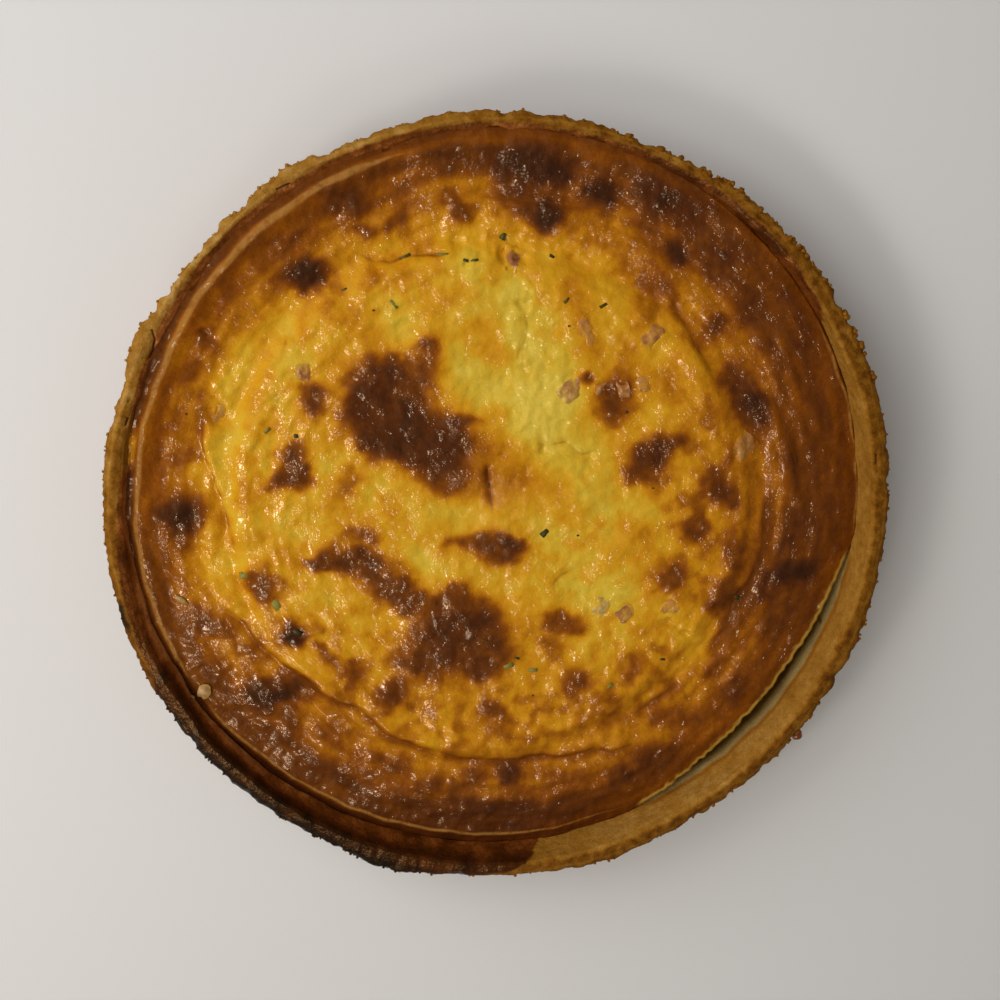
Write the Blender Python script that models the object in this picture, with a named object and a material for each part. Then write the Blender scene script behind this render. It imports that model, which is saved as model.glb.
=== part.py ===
"""A whole baked quiche: a shortcrust shell with a trimmed lip, a set custard filling and ham dice.

The origin is the middle of the flat underside, +Z is up, and all sizes below are millimetres.
Run it with: blender --background --python part.py
"""

import math
import random

import bmesh
import bpy
from mathutils import Matrix, Vector, noise

MM = 0.001

# ---------------------------------------------------------------- driving dimensions

LIP_RADIUS = 140.0  # middle of the shell's trimmed edge
LIP_HEIGHT = 37.3  # the trimmed edge hangs a little below the crest
CREST_HEIGHT = 39.9
SIDE_TOP_HEIGHT = 34.0  # the plain side ends here and the lip flares out
BASE_RADIUS = 125.0  # flat underside, inside the rounded foot
FLOOR_THICKNESS = 4.6
WALL_THICKNESS = 4.7
WALL_FLARE = 0.24  # how far the side leans out for each millimetre up
WALL_FOOT_RADIUS = 126.2  # inner face of the wall, at WALL_FOOT_HEIGHT
WALL_FOOT_HEIGHT = 8.0

GAP = 0.35  # clearance between the filling and what it touches
EDGE_HEIGHT = 28.5  # filling where it meets the wall, on average
EDGE_TILT = 3.0  # it stands this much higher at +Y and lower at -Y
CENTRE_HEIGHT = 34.0
PUFF = 0.8  # extra height near the border of the raised middle
CREASE_RADIUS = 97.0  # the fold between the raised middle and the outer ring
CREASE_HEIGHT = 31.4
CREASE_WIDTH = 9.0
RING_SWELL = 1.7

# Where the filling has shrunk away from the wall: middle and half-width in degrees, depth in mm.
SHRINK_MIDDLE = -37.0
SHRINK_HALF_WIDTH = 30.0
SHRINK_DEPTH = 4.6

# The lip's slow bulges and dents: direction in degrees, half-width in degrees, amount in mm.
LIP_BULGES = (
    (18.0, 10.0, 0.7),
    (68.0, 8.0, -1.3),
    (97.0, 8.0, 0.6),
    (112.0, 5.0, -1.0),
    (121.0, 4.0, 2.0),
    (141.0, 5.0, -0.8),
    (152.0, 3.0, 1.6),
    (164.0, 6.0, -0.8),
    (200.0, 12.0, 0.6),
    (252.0, 7.0, 1.2),
    (306.0, 9.0, -0.9),
    (341.0, 6.0, 1.1),
)
CRUMBLE = 0.9  # fine raggedness of the trimmed edge
CRUMBLE_PITCH = 5.0  # millimetres between one crumb and the next
CREST_WAVE = 0.45

SHELL_STEPS = 144
FILLING_STEPS = 112

# Ham dice: place of the middle, length, width and depth, turn in degrees, and how proud it stands.
HAM_DICE = (
    (4.0, 90.0, 9.0, 6.5, 6.0, 100.0, 0.5),
    (30.0, 65.0, 12.0, 5.5, 5.5, 105.0, 0.7),
    (53.0, 63.0, 9.5, 7.0, 6.0, 60.0, 0.8),
    (25.0, 44.0, 10.0, 7.0, 6.0, 35.0, 0.7),
    (36.2, 45.2, 6.2, 4.8, 5.0, 80.0, 1.0),
    (43.6, 44.0, 7.6, 4.8, 5.0, 105.0, 1.1),
    (51.4, 46.2, 6.2, 5.4, 5.0, 15.0, 0.4),
    (-70.0, 52.0, 8.6, 7.2, 6.0, 80.0, 0.8),
    (-99.0, 37.0, 7.6, 5.2, 5.5, 95.0, 0.3),
    (45.6, -39.0, 7.2, 6.4, 6.0, 20.0, 0.6),
    (36.6, -37.0, 8.4, 6.6, 6.0, 85.0, 0.3),
    (62.0, -37.0, 6.6, 5.8, 5.5, 40.0, 0.3),
    (87.0, 23.0, 10.6, 8.8, 6.0, 50.0, 0.9),
)
HAM_BEVEL = 1.0
HAM_JITTER = 0.45

COLOURS = {
    "shortcrust": ((0.215, 0.115, 0.028, 1.0), 0.8),
    "custard": ((0.48, 0.26, 0.018, 1.0), 0.4),
    "ham": ((0.40, 0.20, 0.09, 1.0), 0.45),
}


# ---------------------------------------------------------------- shape functions


def smoothstep(low, high, value):
    """0 below low, 1 above high, and an even S between them."""
    t = min(1.0, max(0.0, (value - low) / (high - low)))
    return t * t * (3.0 - 2.0 * t)


def turn_between(angle, degrees_direction):
    """Signed degrees from a named direction to an angle in radians."""
    return (math.degrees(angle) - degrees_direction + 180.0) % 360.0 - 180.0


def wall_radius(height):
    """Inner face of the shell's wall at a height."""
    return WALL_FOOT_RADIUS + WALL_FLARE * (height - WALL_FOOT_HEIGHT)


def trim(angle):
    """How far the trimmed edge of the lip stands out from a true circle."""
    slow = sum(
        amount * math.exp(-((turn_between(angle, direction) / half_width) ** 2))
        for direction, half_width, amount in LIP_BULGES
    )
    turns = LIP_RADIUS / CRUMBLE_PITCH
    crumb = noise.noise(Vector((math.cos(angle) * turns, math.sin(angle) * turns, 0.0)))
    return slow + 2.0 * CRUMBLE * crumb


def crest_wave(angle):
    """The crest's slow rise and fall."""
    return CREST_WAVE * (math.sin(3.0 * angle + 0.6) + 0.5 * math.sin(7.0 * angle))


def edge_height(angle):
    """Height of the filling where it meets the wall."""
    return EDGE_HEIGHT + EDGE_TILT * math.sin(angle)


def shrink(angle):
    """How far the filling has drawn back from the wall."""
    away = turn_between(angle, SHRINK_MIDDLE) / SHRINK_HALF_WIDTH
    return SHRINK_DEPTH * max(0.0, 1.0 - away * away)


def crease_radius(angle):
    """The fold round the raised middle, which wanders in and out."""
    return CREASE_RADIUS + 4.0 * math.cos(angle - 2.9) + 2.5 * math.cos(3.0 * angle - 0.4)


def filling_height(radius, angle):
    """Top of the filling: a raised middle, a fold, and an outer ring that falls to the wall."""
    crease = crease_radius(angle)
    if radius < crease:
        middle = CENTRE_HEIGHT + PUFF * (radius / crease) ** 4
        drop = smoothstep(crease - CREASE_WIDTH, crease, radius)
        return middle + drop * (CREASE_HEIGHT - middle)
    outer = (radius - crease) / (wall_radius(EDGE_HEIGHT) - crease)
    slope = CREASE_HEIGHT + (edge_height(angle) - CREASE_HEIGHT) * outer**1.6
    return slope + RING_SWELL * math.sin(math.pi * min(1.0, outer))


# ---------------------------------------------------------------- building helpers


def start_clean():
    for stray in list(bpy.data.objects):
        bpy.data.objects.remove(stray, do_unlink=True)


def new_collection(name):
    collection = bpy.data.collections.new(name)
    bpy.context.scene.collection.children.link(collection)
    return collection


def make_material(name):
    colour, roughness = COLOURS[name]
    material = bpy.data.materials.new(name)
    material.use_nodes = True
    shader = material.node_tree.nodes["Principled BSDF"]
    shader.inputs["Base Color"].default_value = colour
    shader.inputs["Roughness"].default_value = roughness
    shader.inputs["Metallic"].default_value = 0.0
    return material


def add_object(name, bm, collection, material):
    """Puts a bmesh, in millimetres, into the scene as an object in metres."""
    bmesh.ops.scale(bm, vec=(MM, MM, MM), verts=bm.verts)
    mesh = bpy.data.meshes.new(name)
    bm.to_mesh(mesh)
    bm.free()
    mesh.shade_smooth()
    piece = bpy.data.objects.new(name, mesh)
    piece.data.materials.append(material)
    collection.objects.link(piece)
    return piece


def spun_profile(profile, steps):
    """Turns a profile of (radius, height) once round Z, and marks each ring with its number."""
    bm = bmesh.new()
    ring = bm.verts.layers.int.new("ring")
    chain = []
    for number, (radius, height) in enumerate(profile):
        vert = bm.verts.new((radius, 0.0, height))
        vert[ring] = number
        chain.append(vert)
    edges = [bm.edges.new(pair) for pair in zip(chain, chain[1:])]
    bmesh.ops.spin(
        bm,
        geom=chain + edges,
        cent=(0.0, 0.0, 0.0),
        axis=(0.0, 0.0, 1.0),
        dvec=(0.0, 0.0, 0.0),
        angle=math.tau,
        steps=steps,
        use_merge=True,
        use_duplicate=False,
    )
    bmesh.ops.remove_doubles(bm, verts=bm.verts, dist=0.001)
    bmesh.ops.recalc_face_normals(bm, faces=bm.faces)
    return bm, ring


def set_polar(vert, radius, angle, height):
    vert.co = (radius * math.cos(angle), radius * math.sin(angle), height)


# ---------------------------------------------------------------- the pieces


def shell_profile():
    """The shell's section, from the middle of the underside, over the lip, to the middle inside."""
    outside = WALL_THICKNESS
    middle_height = 0.5 * SIDE_TOP_HEIGHT
    return (
        (0.0, 0.0),
        (BASE_RADIUS, 0.0),
        (BASE_RADIUS + 3.2, 1.0),
        (BASE_RADIUS + 4.8, 3.4),
        (wall_radius(middle_height) + outside, middle_height),
        (wall_radius(SIDE_TOP_HEIGHT) + outside, SIDE_TOP_HEIGHT),
        (LIP_RADIUS - 1.2, LIP_HEIGHT - 1.6),
        (LIP_RADIUS, LIP_HEIGHT),
        (LIP_RADIUS - 0.8, LIP_HEIGHT + 1.2),
        (LIP_RADIUS - 2.9, CREST_HEIGHT - 0.4),
        (LIP_RADIUS - 5.2, CREST_HEIGHT),
        (wall_radius(CREST_HEIGHT) - 0.1, CREST_HEIGHT - 0.9),
        (wall_radius(CREST_HEIGHT - 4.5), CREST_HEIGHT - 4.5),
        (wall_radius(0.6 * EDGE_HEIGHT), 0.6 * EDGE_HEIGHT),
        (WALL_FOOT_RADIUS, WALL_FOOT_HEIGHT),
        (WALL_FOOT_RADIUS - 1.0, FLOOR_THICKNESS + 1.0),
        (WALL_FOOT_RADIUS - 3.4, FLOOR_THICKNESS),
        (0.0, FLOOR_THICKNESS),
    )


# Rings of the shell's section that follow the ragged trim, and how closely.
TRIM_FOLLOW = {6: 0.6, 7: 1.0, 8: 0.8, 9: 0.35}
CREST_RINGS = (8, 9, 10, 11)


def make_shell(collection, material):
    bm, ring = spun_profile(shell_profile(), SHELL_STEPS)
    for vert in bm.verts:
        number = vert[ring]
        if number not in TRIM_FOLLOW and number not in CREST_RINGS:
            continue
        angle = math.atan2(vert.co.y, vert.co.x)
        radius = math.hypot(vert.co.x, vert.co.y) + TRIM_FOLLOW.get(number, 0.0) * trim(angle)
        height = vert.co.z
        if number in CREST_RINGS:
            height += crest_wave(angle)
        set_polar(vert, radius, angle, height)
    return add_object("crust", bm, collection, material)


# Radii of the rings on the filling's top; the last one is its edge.
TOP_RINGS = (0.0, 18.0, 36.0, 54.0, 70.0, 82.0, 89.0, 94.0, 98.5, 104.0, 111.0, 118.0, 124.0, 128.0, 131.0)


def filling_profile():
    """The filling's section: along the top, down the side and back under it."""
    top = [(radius, CENTRE_HEIGHT) for radius in TOP_RINGS]
    foot = WALL_FOOT_RADIUS - GAP
    side = [
        (0.5 * (TOP_RINGS[-1] + foot), 0.5 * (EDGE_HEIGHT + WALL_FOOT_HEIGHT)),
        (foot, WALL_FOOT_HEIGHT),
        (foot - 1.3, FLOOR_THICKNESS + 1.3),
        (foot - 3.6, FLOOR_THICKNESS + GAP),
        (0.0, FLOOR_THICKNESS + GAP),
    ]
    return top + side


def make_filling(collection, material, pockets):
    bm, ring = spun_profile(filling_profile(), FILLING_STEPS)
    edge_ring = len(TOP_RINGS) - 1
    for vert in bm.verts:
        number = vert[ring]
        angle = math.atan2(vert.co.y, vert.co.x)
        edge = wall_radius(edge_height(angle)) - GAP - shrink(angle)
        if number <= edge_ring:
            radius = min(TOP_RINGS[number], edge - 0.9 * (edge_ring - number))
            if number == edge_ring:
                radius = edge
            set_polar(vert, radius, angle, filling_height(radius, angle))
        elif number == edge_ring + 1:
            height = 0.5 * (edge_height(angle) + WALL_FOOT_HEIGHT)
            set_polar(vert, wall_radius(height) - GAP - 0.6 * shrink(angle), angle, height)
    filling = add_object("filling", bm, collection, material)
    cut = filling.modifiers.new("ham pockets", "BOOLEAN")
    cut.operation = "DIFFERENCE"
    cut.solver = "EXACT"
    cut.object = pockets
    return filling


def die_bmesh(number, grow):
    """One ham die, or its pocket if grown, as an uneven block with eased edges."""
    x, y, length, width, depth, turn, proud = HAM_DICE[number]
    uneven = random.Random(40 + number)
    bm = bmesh.new()
    bmesh.ops.create_cube(bm, size=1.0)
    size = Vector((length, width, depth)) + Vector((2.0, 2.0, 2.0)) * grow
    bmesh.ops.scale(bm, vec=size, verts=bm.verts)
    for vert in bm.verts:
        vert.co += Vector([uneven.uniform(-HAM_JITTER, HAM_JITTER) for _ in range(3)])
    bmesh.ops.bevel(
        bm,
        geom=bm.edges[:],
        offset=HAM_BEVEL,
        offset_type="OFFSET",
        segments=1,
        profile=0.5,
        affect="EDGES",
        material=-1,
    )
    top = filling_height(math.hypot(x, y), math.atan2(y, x)) + proud
    place = Matrix.Translation((x, y, top - 0.5 * depth)) @ Matrix.Rotation(math.radians(turn), 4, "Z")
    bmesh.ops.transform(bm, matrix=place, verts=bm.verts)
    return bm


def make_pockets(collection, material):
    """All the hollows that the dice sit in, as one hidden cutter."""
    joined = bmesh.new()
    for number in range(len(HAM_DICE)):
        hollow = die_bmesh(number, GAP)
        loose = bpy.data.meshes.new("pocket")
        hollow.to_mesh(loose)
        hollow.free()
        joined.from_mesh(loose)
        bpy.data.meshes.remove(loose)
    cutter = add_object("pocket_cutter", joined, collection, material)
    cutter.hide_render = True
    cutter.display_type = "WIRE"
    return cutter


def make_ham(collection, material):
    for number in range(len(HAM_DICE)):
        add_object(f"ham_{number + 1:02d}", die_bmesh(number, 0.0), collection, material)


def main():
    start_clean()
    parts = new_collection("quiche")
    cutters = new_collection("cutters")
    materials = {name: make_material(name) for name in COLOURS}
    pockets = make_pockets(cutters, materials["ham"])
    make_shell(parts, materials["shortcrust"])
    make_filling(parts, materials["custard"], pockets)
    make_ham(parts, materials["ham"])


main()
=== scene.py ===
# %% [markdown]
# # A whole baked quiche
#
# A quiche is a shortcrust shell with a set custard in it, here with ham and chives. What makes it look
# real is all on top: a skin that browned unevenly, folds where the puffed custard sank, and a crumbly
# trimmed lip that took on colour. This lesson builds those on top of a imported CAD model, the frame.

import math
import random

import bmesh
import bpy
import numpy as np
from mathutils import Matrix, Vector, noise


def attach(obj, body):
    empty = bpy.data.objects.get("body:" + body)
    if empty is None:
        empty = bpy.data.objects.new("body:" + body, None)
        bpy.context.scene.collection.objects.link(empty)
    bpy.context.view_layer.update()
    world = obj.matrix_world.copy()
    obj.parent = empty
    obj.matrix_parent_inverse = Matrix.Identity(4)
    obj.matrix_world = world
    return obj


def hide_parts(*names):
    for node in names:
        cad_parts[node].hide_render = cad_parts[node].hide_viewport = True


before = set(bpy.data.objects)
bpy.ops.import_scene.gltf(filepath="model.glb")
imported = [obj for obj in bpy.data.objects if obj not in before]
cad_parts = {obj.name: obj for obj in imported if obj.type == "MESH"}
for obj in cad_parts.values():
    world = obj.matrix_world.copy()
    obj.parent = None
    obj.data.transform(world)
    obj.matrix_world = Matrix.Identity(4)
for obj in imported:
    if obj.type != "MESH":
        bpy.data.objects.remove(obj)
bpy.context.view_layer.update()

# %% [markdown]
# ## Sizes
#
# Everything below is worked out in millimetres, because that is how a baker would measure it, and is
# turned to metres when a mesh is stored. The shell's sizes repeat the CAD's, so that the crust and the
# filling land where the solids are.

# %% Sizes
MM = 0.001
LIP_RADIUS = 140.0
LIP_HEIGHT = 37.3
CREST_HEIGHT = 39.9
SIDE_TOP_HEIGHT = 34.0
BASE_RADIUS = 125.0
FLOOR_THICKNESS = 4.6
WALL_THICKNESS = 4.7
WALL_FLARE = 0.24
WALL_FOOT_RADIUS = 126.2
WALL_FOOT_HEIGHT = 8.0
GAP = 0.35
EDGE_HEIGHT = 28.5
EDGE_TILT = 3.0
CENTRE_HEIGHT = 34.0
PUFF = 0.8
CREASE_RADIUS = 97.0
CREASE_HEIGHT = 31.4
CREASE_WIDTH = 9.0
RING_SWELL = 1.7
SHRINK_MIDDLE = -37.0
SHRINK_HALF_WIDTH = 30.0
SHRINK_DEPTH = 6.4
FULL_TURN = 360.0
print("lip", 2.0 * LIP_RADIUS, "mm across, filling about", CENTRE_HEIGHT - FLOOR_THICKNESS, "mm deep")

# %% [markdown]
# ## Small tools
#
# Most of the work is done on whole arrays at once: every point of a surface gets its height and its
# browning from the same few functions. A smooth step, a value that changes with direction, and a
# random field with a size in millimetres are all it takes.

# %% Small tools
def smooth(low, high, value):
    """0 below low, 1 above high and an even S between them; low may be the larger."""
    t = np.clip((value - low) / (high - low), 0.0, 1.0)
    return t * t * (3.0 - 2.0 * t)


def bell(value, width):
    """1 at zero, falling to about a third at width."""
    return np.exp(-((value / width) ** 2))


def by_direction(degrees, table):
    """Reads a value from rows of (direction in degrees, value), going smoothly round."""
    directions, values = zip(*table)
    return np.interp(degrees, directions, values, period=FULL_TURN)


def turned_from(degrees, direction):
    """How many degrees a direction lies from another one, from -180 to 180."""
    return (degrees - direction + 180.0) % FULL_TURN - 180.0


def between(degrees, start, end, soft):
    """1 in the arc that runs anticlockwise from start to end, and 0 outside it."""
    width = (end - start) % FULL_TURN
    along = (degrees - start + 0.5 * (FULL_TURN - width)) % FULL_TURN - 0.5 * (FULL_TURN - width)
    return smooth(-soft, soft, along) * smooth(-soft, soft, width - along)


def random_field(points, size, seed):
    """A smooth random value of about -1 to 1 at each point, in lumps of the given size."""
    shift = Vector((17.3 * seed, -9.1 * seed, 5.7 * seed))
    return np.array([2.0 * noise.noise(Vector(point) / size + shift) for point in points])


def polar(points):
    """Radius and direction in degrees of each point, as seen from above."""
    return np.hypot(points[:, 0], points[:, 1]), np.degrees(np.arctan2(points[:, 1], points[:, 0])) % FULL_TURN


def laid_flat(radius, degrees):
    """Points at a radius and a direction, at height zero."""
    turn = np.radians(degrees)
    return np.column_stack((radius * np.cos(turn), radius * np.sin(turn), np.zeros(len(degrees))))


print("a step half way up:", float(smooth(0.0, 2.0, 1.0)))
print("a bell at its width:", round(float(bell(1.0, 1.0)), 2))


# %% [markdown]
# ## The shape that the shell and the filling share
#
# The wall flares a little, so its inner face is a radius that grows with height. The filling meets that
# wall at a height that changes with direction, climbs it where it stuck, and shrank away from it at one
# side. Both pieces read these same functions, so they can't cut into each other.

# %% Shape shared by the shell and the filling
def wall_radius(height):
    """Inner face of the shell's wall at a height."""
    return WALL_FOOT_RADIUS + WALL_FLARE * (height - WALL_FOOT_HEIGHT)


def edge_height(degrees):
    """Height of the filling where it meets the wall."""
    return EDGE_HEIGHT + EDGE_TILT * np.sin(np.radians(degrees))


def shrink(degrees):
    """How far the filling drew back from the wall as it cooled."""
    away = turned_from(degrees, SHRINK_MIDDLE) / SHRINK_HALF_WIDTH
    return SHRINK_DEPTH * np.maximum(0.0, 1.0 - away**2)


# (direction, how far the skin climbs the wall)
MENISCUS = (
    (10, 0.0), (30, 1.5), (45, 3.2), (70, 5.0), (100, 6.0), (120, 6.6), (145, 6.4), (165, 5.2), (185, 4.2),
    (205, 3.2), (230, 2.4), (265, 1.8), (280, 1.2), (292, 0.0),
)


def rim_height(degrees):
    """Height at which the skin ends on the wall."""
    return edge_height(degrees) + by_direction(degrees, MENISCUS)


def plain_height(radius, degrees):
    """The filling's top before any folds: a raised middle, a fold, and a ring that falls to the wall."""
    turn = np.radians(degrees)
    crease = CREASE_RADIUS + 4.0 * np.cos(turn - 2.9) + 2.5 * np.cos(3.0 * turn - 0.4)
    middle = CENTRE_HEIGHT + PUFF * (radius / crease) ** 4
    middle += smooth(crease - CREASE_WIDTH, crease, radius) * (CREASE_HEIGHT - middle)
    outer = np.clip((radius - crease) / (wall_radius(EDGE_HEIGHT) - crease), 0.0, 1.0)
    ring = CREASE_HEIGHT + (edge_height(degrees) - CREASE_HEIGHT) * outer**1.6
    ring += RING_SWELL * np.sin(np.pi * outer)
    return np.where(radius < crease, middle, ring)


print("the filling shrank up to", SHRINK_DEPTH, "mm from the wall, towards", SHRINK_MIDDLE, "degrees")


# %% [markdown]
# ## Materials
#
# Colours are written as sRGB hex, the way a colour picker shows them, and turned to the linear values
# that the shader expects. One function adds any node, so a material reads from top to bottom as a
# recipe. A ramp's stops are filled in by a second one, and a third starts a material.

# %% Colour and node helpers
def colour(hex_text):
    """A linear RGBA colour from an sRGB hex text such as c9a84a."""
    parts = [int(hex_text[i : i + 2], 16) / 255.0 for i in (0, 2, 4)]
    return tuple(c / 12.92 if c <= 0.04045 else ((c + 0.055) / 1.055) ** 2.4 for c in parts) + (1.0,)


def add_node(tree, kind, inputs=None, **settings):
    """Adds one node: settings are its options, and inputs gives a socket a value or something to link."""
    made = tree.nodes.new(kind)
    for name, value in settings.items():
        setattr(made, name, value)
    for socket, value in (inputs or {}).items():
        if isinstance(value, bpy.types.NodeSocket):
            tree.links.new(value, made.inputs[socket])
        else:
            made.inputs[socket].default_value = value
    return made


def fill_ramp(ramp, stops):
    """Gives a colour ramp its stops, as rows of (place, hex colour)."""
    elements = ramp.color_ramp.elements
    while len(elements) < len(stops):
        elements.new(0.5)
    for element, (place, hex_text) in zip(elements, stops):
        element.position = place
        element.color = colour(hex_text)


def new_material(name):
    """A new material, its node tree and the shader in it."""
    material = bpy.data.materials.new(name)
    material.use_nodes = True
    return material, material.node_tree, material.node_tree.nodes["Principled BSDF"]


print("c9a84a is", [round(value, 3) for value in colour("c9a84a")])


# %% [markdown]
# ## Storing a piece
#
# A finished bmesh is scaled to metres and becomes an object at the origin, unturned and unscaled. It
# rides on the CAD's only body, gets its material, and replaces the solid it stands for.

# %% Storing a finished piece
def store(bm, name, material, slot, *replaced):
    """Turns a bmesh in millimetres into a piece that rides on the CAD body and has the given material; slot is
    not used.
    """
    bmesh.ops.scale(bm, vec=(MM, MM, MM), verts=bm.verts)
    mesh = bpy.data.meshes.new(name)
    bm.to_mesh(mesh)
    bm.free()
    mesh.shade_smooth()
    mesh.materials.append(material)
    piece = bpy.data.objects.new(name, mesh)
    bpy.context.scene.collection.objects.link(piece)
    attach(piece, "root")
    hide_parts(*replaced)
    print(name, sum(len(face.vertices) - 2 for face in mesh.polygons), "triangles")


# %% [markdown]
# ## Where the custard browned
#
# The oven scorches whatever stands highest or bubbles first, so the marks are irregular and no formula
# gives them. Each mark is one blot: where it is, how long and how wide, which way it lies, and how far
# it went, from 0.3 for amber to 1 for nearly burnt. Several blots that touch melt into one patch.

# %% Scorch marks
# (x, y, length, width, turn in degrees, strength)
MIDDLE_SCORCHES = (
    # the large patch left of the middle
    (-44, 43, 19, 18, 100, 1.0), (-39, 34, 20, 17, -20, 1.0), (-43, 49, 15, 9, 20, 0.95),
    (-35, 48, 19, 10, 0, 0.95), (-26, 58, 12, 6, 80, 0.8), (-21, 24, 18, 19, 0, 1.0),
    (-20, 15, 13, 9, 90, 0.95), (-13, 34, 13, 4, 5, 0.7), (-41, 26, 16, 8, -10, 1.0),
    # the large patch below the middle
    (-14, -42, 24, 22, 0, 1.0), (-16, -52, 32, 15, 0, 1.0), (-5, -57, 11, 9, 90, 0.8),
    (-14, -28, 7, 6, 90, 0.6), (-35, -56, 14, 5, -20, 0.7),
    # the slanting patch at the lower left
    (-55, -17, 20, 8, -15, 0.85), (-61, -19, 15, 5, -5, 0.7), (-45, -22, 20, 9, -42, 1.0),
    (-35, -31, 14, 9, -50, 0.95), (-50, -7, 12, 5, -10, 0.7), (-69, -18, 8, 3, -35, 0.6),
    # the oval under the slit
    (-5, -12, 26, 7, 0, 0.85), (0, -14, 15, 8, 0, 0.85),
    # right of the middle
    (53, 17, 16, 12, 25, 0.95), (58, 25, 15, 6, 20, 0.75), (40, 41, 17, 11, 85, 0.9), (29, 49, 3, 3, 0, 0.9),
    (71, -8, 8, 7, 0, 0.8), (61, -25, 10, 9, 0, 0.8), (76, 9, 10, 7, 100, 0.85), (83, 4, 8, 5, -50, 0.75),
    (81, 19, 10, 3, 100, 0.5),
    # left of the middle
    (-73, 20, 13, 7, 80, 0.95), (-79, 12, 8, 5, 20, 0.7), (-66, 42, 8, 7, 90, 0.85),
    (-55, 12, 9, 7, 30, 0.65), (-86, -25, 11, 8, -30, 0.85), (-74, -43, 9, 5, -20, 1.0),
    (-66, -40, 6, 4, -50, 0.6), (-63, -52, 11, 3, -45, 0.65), (-56, -61, 11, 3, -45, 0.5),
    (-52, -57, 7, 5, 40, 0.65), (-41, -68, 12, 9, 40, 0.9),
    # below and above the middle
    (24, -42, 13, 7, -25, 0.8), (19, -52, 10, 7, -40, 0.55), (-2, -76, 8, 6, -40, 0.75),
    (0, -84, 9, 4, 0, 0.5), (27, -66, 10, 8, 70, 0.8), (32, -65, 7, 5, 0, 0.5), (49, -59, 8, 6, 100, 0.7),
    (14, 106, 18, 6, -5, 0.9), (15, 104, 9, 8, 90, 1.0), (6, 110, 9, 3, 0, 0.6), (-68, 85, 13, 7, 5, 1.0),
    (-77, 83, 7, 4, 0, 0.5), (-61, 88, 5, 4, 0, 0.4), (-12, 107, 8, 5, 10, 0.8), (-17, 111, 9, 4, 0, 0.5),
    (-35, 104, 9, 4, 35, 0.7), (-47, 100, 10, 3, 0, 0.65), (-44, 86, 7, 6, -20, 0.5),
)
RING_SCORCHES = (
    # the top, under the dark glossy skin
    (12, 121, 22, 12, -5, 1.0), (4, 118, 9, 8, 0, 0.9), (-8, 125, 26, 6, 0, 0.75),
    (-20, 125, 18, 7, -5, 0.65), (34, 113, 9, 9, 0, 0.95), (-33, 113, 9, 7, 30, 0.45),
    # upper right
    (52, 113, 16, 8, -20, 0.8), (62, 108, 16, 8, -28, 0.85), (52, 101, 9, 7, -60, 0.7),
    (61, 92, 8, 7, -20, 0.9), (76, 90, 15, 8, -55, 0.9), (70, 96, 14, 8, -50, 0.6),
    (88, 72, 10, 8, -50, 0.85), (76, 66, 7, 6, 0, 0.85), (54, 82, 12, 7, -40, 0.6), (94, 62, 6, 4, 80, 0.6),
    (96, 80, 16, 4, -55, 0.6), (107, 62, 18, 8, -62, 0.6),
    # right
    (84, 47, 12, 6, -50, 0.85), (89, 36, 17, 8, -57, 1.0), (106, 18, 6, 3, -50, 0.8),
    (86, -17, 14, 7, 100, 0.65), (80, -35, 13, 8, 60, 0.9), (106, -27, 21, 7, 8, 1.0),
    (93, -32, 12, 6, 20, 0.9), (80, -61, 8, 5, 60, 0.6), (108, -10, 13, 8, 90, 0.55),
    (106, -41, 14, 10, 60, 0.6), (88, -70, 11, 8, 40, 0.8), (62, -80, 11, 6, 0, 0.7),
    (73, -80, 9, 7, 0, 0.55), (84, -50, 26, 6, 62, 0.55), (60, -96, 13, 6, 20, 0.8), (47, -104, 9, 6, 0, 0.8),
    # bottom
    (3, -101, 9, 7, 100, 0.95), (-10, -101, 7, 5, 0, 0.75), (-28, -107, 11, 5, 0, 0.75),
    (-47, -101, 6, 5, 0, 0.75), (-38, -97, 7, 4, 0, 0.55), (-50, -93, 6, 5, 0, 0.6),
    (-14, -106, 9, 3, -10, 0.5), (26, -104, 12, 3, -5, 0.45),
    # lower left
    (-104, -40, 14, 6, -35, 0.9), (-84, -67, 18, 8, -5, 1.0), (-74, -66, 13, 7, -30, 0.9),
    (-77, -62, 7, 4, -20, 0.4), (-88, -73, 14, 4, -10, 0.6), (-92, -52, 9, 4, -35, 0.55),
    (-64, -82, 8, 5, 90, 0.55), (-78, -80, 12, 5, 80, 0.8),
    # left and upper left
    (-114, 0, 13, 12, 0, 0.9), (-107, -3, 5, 6, 0, 0.6), (-111, 22, 7, 6, 60, 0.7), (-107, 52, 8, 5, 0, 0.5),
    (-101, 63, 6, 3, -35, 0.85), (-73, 98, 12, 4, 25, 0.6), (-55, 111, 11, 8, 0, 0.85),
    (-84, 95, 8, 3, 40, 0.4), (-94, 83, 8, 6, 30, 0.45), (-46, 119, 15, 5, 22, 0.6),
)
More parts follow.
